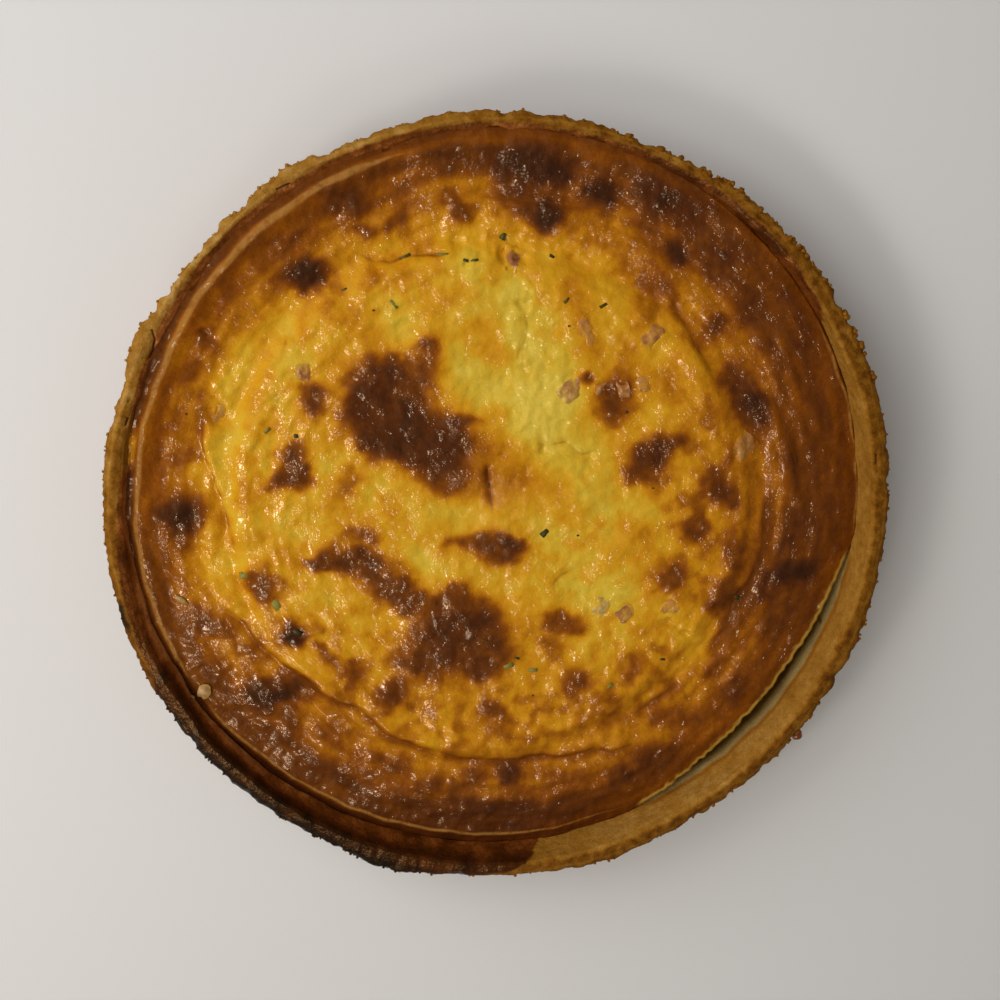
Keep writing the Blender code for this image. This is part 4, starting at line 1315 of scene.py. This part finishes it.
# %% Gloss and crumb of the shell
DOUGH_ROUGHNESS, FILMED_ROUGHNESS = 0.85, 0.32
CRUMB_RELIEF_MM = 0.5
shine = add_node(tree, "ShaderNodeMapRange", {
    "Value": covered.outputs[0], "To Min": DOUGH_ROUGHNESS, "To Max": FILMED_ROUGHNESS,
})
tree.links.new(shine.outputs[0], shader.inputs["Roughness"])
bumpy = add_node(tree, "ShaderNodeMath", {0: lump.outputs["Fac"], 1: crumb.outputs["Fac"]}, operation="ADD")
bump = add_node(tree, "ShaderNodeBump", {
    "Height": bumpy.outputs[0], "Strength": 0.6, "Distance": CRUMB_RELIEF_MM * MM,
})
tree.links.new(bump.outputs[0], shader.inputs["Normal"])
shader.inputs["Specular IOR Level"].default_value = 0.18
shader.inputs["Specular Tint"].default_value = GOLDEN_TINT

store(crust_bm, "shortcrust_shell", shortcrust, "shortcrust", "crust")

# %% [markdown]
# ## Ham
#
# The dice are cooked ham: tan to mauve meat with a fine grain, and on some a side of pale fat. Most lie
# level with the skin, which half covers them, and the film of fat lies over both. Real grain in ham is
# about half a millimetre and would not show, so it is drawn at 1.3 mm.

# %% Cooked ham
HAM_COLOURS = ((0.0, "b8a468"), (0.25, "b98650"), (0.5, "aa713f"), (0.75, "96583c"), (1.0, "5e2c1c"))
HAM_GRAIN_MM = 1.3
HAM_GRAIN_TONE = 0.8
HAM_RELIEF_MM = 0.5
HAM_ROUGHNESS = 0.5
HAM_IOR = 1.45
PINKISH_TINT = (1.0, 0.78, 0.55, 1.0)

ham_material, tree, shader = new_material("cooked_ham")
place = add_node(tree, "ShaderNodeTexCoord").outputs["Object"]
grain = add_node(tree, "ShaderNodeTexNoise", {
    "Vector": place, "Scale": 1.0 / (HAM_GRAIN_MM * MM), "Detail": 3.0, "Roughness": 0.65,
})
numbers = {
    name: add_node(tree, "ShaderNodeAttribute", attribute_name=name).outputs["Fac"]
    for name in ("meat", "veil", "browning")
}
uneven = add_node(tree, "ShaderNodeMath", {
    0: grain.outputs["Fac"], 1: HAM_GRAIN_TONE, 2: -0.5 * HAM_GRAIN_TONE,
}, operation="MULTIPLY_ADD")
tone = add_node(tree, "ShaderNodeMath", {
    0: numbers["meat"], 1: uneven.outputs[0],
}, operation="ADD", use_clamp=True)
flesh = add_node(tree, "ShaderNodeValToRGB", {"Fac": tone.outputs[0]})
fill_ramp(flesh, HAM_COLOURS)
skin = add_node(tree, "ShaderNodeValToRGB", {"Fac": numbers["browning"]})
fill_ramp(skin, SKIN_COLOURS)
veiled = add_node(tree, "ShaderNodeMix", {
    0: numbers["veil"], 6: flesh.outputs[0], 7: skin.outputs[0],
}, data_type="RGBA")
tree.links.new(veiled.outputs[2], shader.inputs["Base Color"])
bump = add_node(tree, "ShaderNodeBump", {
    "Height": grain.outputs["Fac"], "Strength": 1.0, "Distance": HAM_RELIEF_MM * MM,
})
tree.links.new(bump.outputs[0], shader.inputs["Normal"])
shader.inputs["Roughness"].default_value = HAM_ROUGHNESS
shader.inputs["IOR"].default_value = HAM_IOR
shader.inputs["Specular IOR Level"].default_value = 0.3
shader.inputs["Specular Tint"].default_value = PINKISH_TINT
add_film_of_fat(tree, shader, place, 1.0)
print(len(HAM_COLOURS), "colours of meat, from fat", HAM_COLOURS[0][1], "to", HAM_COLOURS[-1][1])

# %% [markdown]
# ## The dice of ham
#
# Each die starts from a copy of its CAD solid, so that it stays exactly where the solid is. The copy's
# loose triangles are merged first, and it is subdivided and smoothed until its corners are round. Its
# top is then laid on the custard's own relief and dips under it at the border, and there the custard's
# colour runs over the meat as a veil.

# %% Ham dice
# the share of a die's outline at which its top meets the custard, and how far it bulges above it, in mm
HAM_REACH = 0.92
HAM_BULGE = 0.35
# a die's own unevenness: height and size in mm; and how near a point of the custard counts for its relief
HAM_UNEVEN, HAM_LUMP_MM = 0.2, 2.2
NEAR_MM = 0.8
# each die's meat, from 0 for pale fat to 1 for dark mauve meat, how much custard veils it, and its lift in mm
HAM_LOOKS = {
    "ham_01": (0.75, 0.05, 0.2), "ham_02": (0.45, 0.45, 0.1), "ham_03": (0.65, 0.35, 0.2),
    "ham_04": (0.45, 0.15, 0.5), "ham_05": (0.45, 0.05, 0.8), "ham_06": (0.38, 0.00, 0.9),
    "ham_07": (0.42, 0.50, 0.3), "ham_08": (0.65, 0.30, 0.2), "ham_09": (0.40, 0.45, 0.0),
    "ham_10": (0.70, 0.15, 0.2), "ham_11": (0.08, 0.30, 0.1), "ham_12": (0.55, 0.40, 0.0),
    "ham_13": (0.33, 0.45, 0.3),
}


def read_top(points, values):
    """Reads a value of the filling's top at nearby places, as a mean of the points round each."""
    middle = points[:, :2].mean(axis=0)
    reach = np.hypot(*(points[:, :2] - middle).T).max() + 3.0
    close = np.hypot(*(top[:, :2] - middle).T) < reach
    away = np.hypot(points[:, None, 0] - top[None, close, 0], points[:, None, 1] - top[None, close, 1])
    weight = bell(away, NEAR_MM) + 1e-9
    return weight @ values[close] / weight.sum(axis=1)


for name in HAM_NODES:
    meat, veil, lift = HAM_LOOKS[name]
    middle, axis, half_length, half_width = footprint(name)
    bm = bmesh.new()
    bm.from_mesh(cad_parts[name].data)
    bmesh.ops.scale(bm, vec=(1.0 / MM,) * 3, verts=bm.verts)
    bmesh.ops.remove_doubles(bm, verts=bm.verts, dist=0.001)
    bmesh.ops.dissolve_limit(bm, angle_limit=0.01, verts=bm.verts, edges=bm.edges)
    bmesh.ops.triangulate(bm, faces=bm.faces)
    for _ in range(2):
        bmesh.ops.subdivide_edges(bm, edges=bm.edges, cuts=2, use_grid_fill=True)
    for _ in range(3):
        bmesh.ops.smooth_vert(bm, verts=bm.verts, factor=0.5, use_axis_x=True, use_axis_y=True, use_axis_z=True)
    points = np.array([vert.co[:] for vert in bm.verts])
    out = box_distance(moved(points, 0.0, 1.7), middle[0], middle[1], axis, half_length, half_width)
    laid = read_top(points, whole_height) + (HAM_BULGE + lift) * (1.0 - np.minimum(out / HAM_REACH, 1.4) ** 2)
    laid += HAM_UNEVEN * random_field(points * (1.0, 1.0, 0.0), HAM_LUMP_MM, 42)
    risen = (points[:, 2] - middle[2]) / (points[:, 2].max() - middle[2])
    points[:, 2] += smooth(0.1, 0.6, risen) * (laid - points[:, 2])
    for vert, at in zip(bm.verts, points):
        vert.co = at
    write_numbers(bm, {
        "meat": np.clip(meat + 0.12 * random_field(points, 3.0, 43), 0.0, 1.0),
        "veil": np.clip(veil + smooth(0.7, 1.0, out) + 0.30 * random_field(points, HAM_LUMP_MM, 44), 0.0, 1.0),
        "browning": read_top(points, browning),
    })
    bmesh.ops.recalc_face_normals(bm, faces=bm.faces)
    store(bm, "die_of_" + name, ham_material, "ham", name)

# %% [markdown]
# ## Chives and specks
#
# Chopped chives show as small dark green bits, some under the skin and some on it, and a few are only
# specks. At one to four millimetres no leaf needs more than a short cone that lies down, flattened and
# dented, and they are joined into one mesh. How green each is rides along as a number.

# %% Chives
# (x, y, length, width, turn, how green: 0 is nearly black)
CHIVES = (
    (1, 98, 2.4, 2.2, 70, 0.5), (-9, 90, 2.4, 1.0, 15, 0.5), (-12, 90, 1.8, 1.0, -20, 0.3),
    (-33, 91, 4.2, 1.2, 30, 0.5), (-37, 75, 3.6, 1.2, -50, 0.8), (36, 74, 2.6, 1.1, 30, 0.3),
    (23, 76, 2.4, 1.2, 50, 0.5), (18, 91, 1.8, 1.0, -30, 0.1), (24, 67, 0.9, 0.7, 0, 0.0),
    (-54, 80, 2.0, 1.0, 20, 0.5), (16, -8, 3.0, 2.2, 40, 0.4), (6, -55, 2.0, 0.9, -20, 0.3),
    (3, -58, 3.6, 2.0, 20, 0.9), (12, -60, 3.0, 1.6, 0, 0.9), (40, -67, 3.4, 1.4, 40, 0.9),
    (60, -57, 1.8, 1.0, 0, 0.3), (-72, 29, 1.6, 1.4, 0, 0.4), (-82, 31, 2.6, 1.2, 40, 0.8),
    (-81, -33, 3.6, 3.0, -50, 1.0), (-74, -43, 4.4, 2.4, -30, 0.2), (45, 36, 0.9, 0.8, 0, 0.0),
    (-44, 73, 0.9, 0.7, 0, 0.0), (28, -9, 0.8, 0.7, 0, 0.0), (86, 19, 1.2, 0.9, 0, 0.0),
    (-92, -22, 3.4, 2.4, 0, 1.0), (87, -34, 2.4, 1.6, -30, 0.4), (-20, 92, 4.0, 0.9, 5, 0.8),
    (-5, -48, 0.8, 0.6, 0, 0.1), (-4, 10, 1.6, 1.0, 80, 0.4), (55, 8, 0.7, 0.6, 0, 0.0),
    (-110, 37, 0.8, 0.7, 0, 0.0), (12, -70, 0.8, 0.6, 0, 0.2),
)
CHIVE_SIDES = 10
CHIVE_TAPER = 0.42
CHIVE_FLATNESS = 0.4
CHIVE_DENT = 0.08


def surface_height(x, y):
    """Height of the filling's top at a place."""
    nearest = np.argmin((top[:, 0] - x) ** 2 + (top[:, 1] - y) ** 2)
    return float(top[nearest, 2])


chives_bm = bmesh.new()
green_layer = chives_bm.verts.layers.float.new("green")
draw = random.Random(5)
for x, y, length, width, lie, green in CHIVES:
    before = len(chives_bm.verts)
    bit = bmesh.ops.create_cone(
        chives_bm, cap_ends=True, cap_tris=False, segments=CHIVE_SIDES,
        radius1=0.5 * width, radius2=CHIVE_TAPER * width, depth=length,
    )["verts"]
    edges = list({edge for vert in bit for edge in vert.link_edges})
    bmesh.ops.subdivide_edges(chives_bm, edges=edges, cuts=1, use_grid_fill=True)
    bit = list(chives_bm.verts)[before:]
    tilt = draw.uniform(80.0, 95.0)
    lay = (
        Matrix.Translation((x, y, surface_height(x, y) + 0.02 * width))
        @ Matrix.Diagonal((1.0, 1.0, CHIVE_FLATNESS, 1.0))
        @ Matrix.Rotation(math.radians(lie), 4, "Z")
        @ Matrix.Rotation(math.radians(tilt), 4, "Y")
    )
    bmesh.ops.transform(chives_bm, matrix=lay, verts=bit)
    for vert in bit:
        vert.co += CHIVE_DENT * width * Vector((draw.uniform(-1, 1), draw.uniform(-1, 1), draw.uniform(-1, 1)))
        vert[green_layer] = 0.02 + 0.98 * green
bmesh.ops.recalc_face_normals(chives_bm, faces=chives_bm.faces)
print(len(CHIVES), "bits of chive")

# %% Chopped chives
# wilted leaf, from nearly black to olive; the fat keeps it a little glossy
LEAF_COLOURS = ((0.0, "33200a"), (0.4, "3d3a14"), (1.0, "8a8436"))
LEAF_ROUGHNESS = 0.5
chive_material, tree, shader = new_material("chopped_chives")
green = add_node(tree, "ShaderNodeAttribute", attribute_name="green").outputs["Fac"]
leaf = add_node(tree, "ShaderNodeValToRGB", {"Fac": green})
fill_ramp(leaf, LEAF_COLOURS)
tree.links.new(leaf.outputs[0], shader.inputs["Base Color"])
shader.inputs["Roughness"].default_value = LEAF_ROUGHNESS
shader.inputs["Specular IOR Level"].default_value = 0.2
store(chives_bm, "chives", chive_material, "custard")

# %% [markdown]
# ## Crumbs
#
# Trimming the lip left loose crumbs along its edge, thick at the upper right. A particle system could
# scatter them, but a short loop keeps each one where it is meant to be. They are small dented balls of
# twenty faces each, joined into one mesh. They sit where the lip reaches furthest out, and share its
# material, so each takes the toast and the char of its place.

# %% Crumbs
# (start and end of an arc in degrees, how many crumbs, smallest and largest size)
CRUMB_ARCS = (
    (20, 31, 16, 1.8, 3.2), (34, 76, 50, 1.2, 2.8), (76, 110, 20, 0.8, 1.6), (110, 150, 36, 0.9, 2.0),
    (150, 185, 24, 0.8, 1.8), (186, 215, 16, 0.8, 1.6), (215, 262, 34, 0.8, 1.6), (262, 300, 16, 0.8, 1.5),
    (300, 345, 24, 0.8, 1.9), (345, 378, 14, 0.8, 1.6),
)
# only points above this height, and each time one of this many outermost ones
LIP_FROM = 34.5
OUTERMOST = 8
CRUMB_DENT = 0.35
lip_mask = shell[:, 2] > LIP_FROM
lip_points, lip_degrees = shell[lip_mask], shell_degrees[lip_mask]
crumbs_bm = bmesh.new()
crumb_toast = crumbs_bm.verts.layers.float.new("toast")
crumb_burnt = crumbs_bm.verts.layers.float.new("burnt")
draw = random.Random(11)
for start, end, count, smallest, largest in CRUMB_ARCS:
    for number in range(count):
        facing = draw.uniform(start, end) % FULL_TURN
        near = lip_points[np.abs(turned_from(lip_degrees, facing)) < 0.5]
        outermost = near[np.argsort(-np.hypot(near[:, 0], near[:, 1]))[:OUTERMOST]]
        choice = outermost[draw.randrange(len(outermost))]
        size = draw.uniform(smallest, largest)
        bit = bmesh.ops.create_icosphere(crumbs_bm, subdivisions=1, radius=0.5 * size)["verts"]
        for vert in bit:
            vert.co *= 1.0 + CRUMB_DENT * noise.noise(vert.co * 1.3 + Vector((number, facing, 0.0)))
            vert[crumb_toast] = float(by_direction(facing, LIP_TOAST)) + draw.uniform(-0.15, 0.1)
            vert[crumb_burnt] = float(by_direction(facing, CHAR)) * 0.9
        sink = Vector((choice[0], choice[1], choice[2] + 0.15 * size))
        squash = Matrix.Diagonal((1.0, draw.uniform(0.7, 1.0), draw.uniform(0.6, 0.9), 1.0))
        turned = Matrix.Rotation(draw.uniform(0.0, math.tau), 4, "Z")
        bmesh.ops.transform(crumbs_bm, matrix=Matrix.Translation(sink) @ turned @ squash, verts=bit)
for name in ("film_mm", "crack_mm"):
    layer = crumbs_bm.verts.layers.float.new(name)
    for vert in crumbs_bm.verts:
        vert[layer] = -FOLD_REACH
store(crumbs_bm, "lip_crumbs", shortcrust, "shortcrust")

# %% [markdown]
# ## Flakes of onion
#
# Three thin, dry, pale flakes lie on the skin at the left. A flat card would vanish seen from the side,
# so each is a circle with a wavy border, stretched and turned, extruded to its thickness and bevelled.

# %% Flakes
# (x, y, length, width, turn)
FLAKES = ((-108, -66, 6.2, 5.0, 70), (-113, -69, 2.8, 2.2, 0), (-115, -31, 5.6, 2.2, -35))
FLAKE_SIDES = 14
FLAKE_WAVE = 0.3
FLAKE_LIFT, FLAKE_THICKNESS, FLAKE_BEVEL = 0.35, 0.45, 0.15
flakes_bm = bmesh.new()
for x, y, length, width, lie in FLAKES:
    bit = bmesh.ops.create_circle(flakes_bm, cap_ends=True, segments=FLAKE_SIDES, radius=0.5)["verts"]
    for vert in bit:
        vert.co *= 1.0 + FLAKE_WAVE * noise.noise(vert.co * 5.0 + Vector((x, y, 0.0)))
    lay = (
        Matrix.Translation((x, y, surface_height(x, y) + FLAKE_LIFT))
        @ Matrix.Rotation(math.radians(lie), 4, "Z")
        @ Matrix.Diagonal((length, width, 1.0, 1.0))
    )
    bmesh.ops.transform(flakes_bm, matrix=lay, verts=bit)
lifted = bmesh.ops.extrude_face_region(flakes_bm, geom=flakes_bm.faces[:])["geom"]
upper_side = [part for part in lifted if isinstance(part, bmesh.types.BMVert)]
bmesh.ops.translate(flakes_bm, vec=(0.0, 0.0, FLAKE_THICKNESS), verts=upper_side)
bmesh.ops.recalc_face_normals(flakes_bm, faces=flakes_bm.faces)
bmesh.ops.bevel(
    flakes_bm, geom=flakes_bm.edges[:], offset=FLAKE_BEVEL, offset_type="OFFSET", segments=1, profile=0.5,
    affect="EDGES", material=-1,
)
print(len(FLAKES), "flakes,", FLAKE_THICKNESS, "mm thick")

# %% Dry onion
FLAKE_COLOURS = ((0.35, "8f6428"), (0.65, "b08a48"))
FLAKE_GRAIN_MM = 1.6
FLAKE_ROUGHNESS = 0.5
flake_material, tree, shader = new_material("dry_onion_flake")
place = add_node(tree, "ShaderNodeTexCoord").outputs["Object"]
grain = add_node(tree, "ShaderNodeTexNoise", {
    "Vector": place, "Scale": 1.0 / (FLAKE_GRAIN_MM * MM), "Detail": 2.0,
})
tint = add_node(tree, "ShaderNodeValToRGB", {"Fac": grain.outputs["Fac"]})
fill_ramp(tint, FLAKE_COLOURS)
tree.links.new(tint.outputs[0], shader.inputs["Base Color"])
shader.inputs["Roughness"].default_value = FLAKE_ROUGHNESS
store(flakes_bm, "pale_flakes", flake_material, "shortcrust")

# %% [markdown]
# ## A bead that ran over
#
# One drop of custard ran over the lip and set there as a bead, dark and glossy like burnt sugar. A ball
# pushed a little out of round by noise is enough for it.

# %% Drip bead
BEAD_PLACE = (111.0, -87.0, 36.0)
BEAD_SIZE = 4.2
BEAD_COLOURS = ((0.3, "5a2a0c"), (0.7, "9a5a20"))
BEAD_CLOUD_MM = 1.5
BEAD_ROUGHNESS = 0.22
bead_bm = bmesh.new()
bmesh.ops.create_icosphere(bead_bm, subdivisions=3, radius=0.5 * BEAD_SIZE)
for vert in bead_bm.verts:
    vert.co *= 1.0 + 0.2 * noise.noise(vert.co * 0.6)
bmesh.ops.translate(bead_bm, vec=BEAD_PLACE, verts=bead_bm.verts)
bead_material, tree, shader = new_material("burnt_custard_bead")
place = add_node(tree, "ShaderNodeTexCoord").outputs["Object"]
cloud = add_node(tree, "ShaderNodeTexNoise", {"Vector": place, "Scale": 1.0 / (BEAD_CLOUD_MM * MM)})
tint = add_node(tree, "ShaderNodeValToRGB", {"Fac": cloud.outputs["Fac"]})
fill_ramp(tint, BEAD_COLOURS)
tree.links.new(tint.outputs[0], shader.inputs["Base Color"])
shader.inputs["Roughness"].default_value = BEAD_ROUGHNESS
store(bead_bm, "drip_bead", bead_material, "custard")

# %% [markdown]
# ## Floor
#
# The quiche lies on a plain, pale, matt floor. One flat grid is enough, so wide that its edge stays out
# of sight from above.

# %% Floor
FLOOR_SIZE = 6000.0
TABLE_COLOUR = "e2e4e9"
TABLE_ROUGHNESS = 0.7
floor_bm = bmesh.new()
bmesh.ops.create_grid(floor_bm, x_segments=8, y_segments=8, size=0.5 * FLOOR_SIZE * MM)
floor_mesh = bpy.data.meshes.new("floor")
floor_bm.to_mesh(floor_mesh)
floor_bm.free()
floor = bpy.data.objects.new("floor", floor_mesh)
bpy.context.scene.collection.objects.link(floor)
floor_material, tree, shader = new_material("matt_pale_table")
shader.inputs["Base Color"].default_value = colour(TABLE_COLOUR)
shader.inputs["Roughness"].default_value = TABLE_ROUGHNESS
floor_mesh.materials.append(floor_material)
print("floor", FLOOR_SIZE * MM, "m wide")

# %% [markdown]
# ## Light
#
# Broad lamps stand on the left, so the left side is brighter than the right and the shadow falls softly
# to the right. A dim warm sky fills in. Broad lamps would lie as a grey veil on every wet surface, so
# they are hidden from glossy rays, and two small warm lamps that only glossy surfaces see make the
# sparkles in the fat.

# %% Light
# (name, place, size, power, colour, whether glossy surfaces mirror it)
LAMPS = (
    ("top_lamp", (-0.35, 0.35, 1.2), 0.9, 4.3, (1.0, 0.975, 0.93), False),
    ("side_lamp", (-0.85, 0.50, 0.70), 0.8, 5.3, (1.0, 0.975, 0.93), False),
    ("fill_lamp", (-0.66, -0.22, 0.92), 0.30, 2.2, (1.0, 0.94, 0.84), False),
    ("second_fill_lamp", (-0.42, -0.56, 0.98), 0.30, 0.8, (1.0, 0.94, 0.84), False),
    ("glint_lamp", (-0.66, -0.22, 0.92), 0.10, 12.0, (1.0, 0.76, 0.52), True),
    ("second_glint_lamp", (-0.42, -0.56, 0.98), 0.10, 6.0, (1.0, 0.76, 0.52), True),
)
SKY_COLOUR = (1.0, 0.90, 0.74, 1.0)
SKY_STRENGTH = 0.2
for name, lamp_place, size, power, tint, mirrored in LAMPS:
    lamp_data = bpy.data.lights.new(name, "AREA")
    lamp_data.shape = "SQUARE"
    lamp_data.size = size
    lamp_data.energy = power
    lamp_data.color = tint
    lamp = bpy.data.objects.new(name, lamp_data)
    lamp.location = lamp_place
    lamp.visible_glossy = mirrored
    lamp.visible_diffuse = not mirrored
    lamp.rotation_euler = Vector(lamp_place).to_track_quat("Z", "Y").to_euler()
    bpy.context.scene.collection.objects.link(lamp)

world = bpy.data.worlds.new("dim_sky")
bpy.context.scene.world = world
world.use_nodes = True
sky = world.node_tree.nodes["Background"]
sky.inputs["Color"].default_value = SKY_COLOUR
sky.inputs["Strength"].default_value = SKY_STRENGTH
print(len(LAMPS), "lamps")

# %% [markdown]
# ## Camera
#
# The camera looks down on the quiche from nearly straight above, a little from behind. It is aimed by
# its own three axes, so no constraint or target object is needed.

# %% Camera
AIM = Vector((-0.2, 4.8, 35.0))
CAMERA_DISTANCE = 600.0
CAMERA_TILT = math.radians(14.25)
CAMERA_SIDE = math.radians(104.5)
LENS_MM, SENSOR_MM = 60.48, 36.0
back = Vector((
    math.sin(CAMERA_TILT) * math.cos(CAMERA_SIDE),
    math.sin(CAMERA_TILT) * math.sin(CAMERA_SIDE),
    math.cos(CAMERA_TILT),
))
upward = (Vector((0.0, 1.0, 0.0)) - back * back.y).normalized()
across = upward.cross(back)
camera_data = bpy.data.cameras.new("camera")
camera_data.lens = LENS_MM
camera_data.sensor_width = SENSOR_MM
camera_data.clip_start = 0.01
camera = bpy.data.objects.new("camera", camera_data)
axes = Matrix((across, upward, back)).transposed().to_4x4()
camera.matrix_world = Matrix.Translation((AIM + CAMERA_DISTANCE * back) * MM) @ axes
bpy.context.scene.collection.objects.link(camera)
bpy.context.scene.camera = camera
bpy.context.scene.view_settings.view_transform = "Standard"
print("camera", [round(value, 3) for value in camera.location])
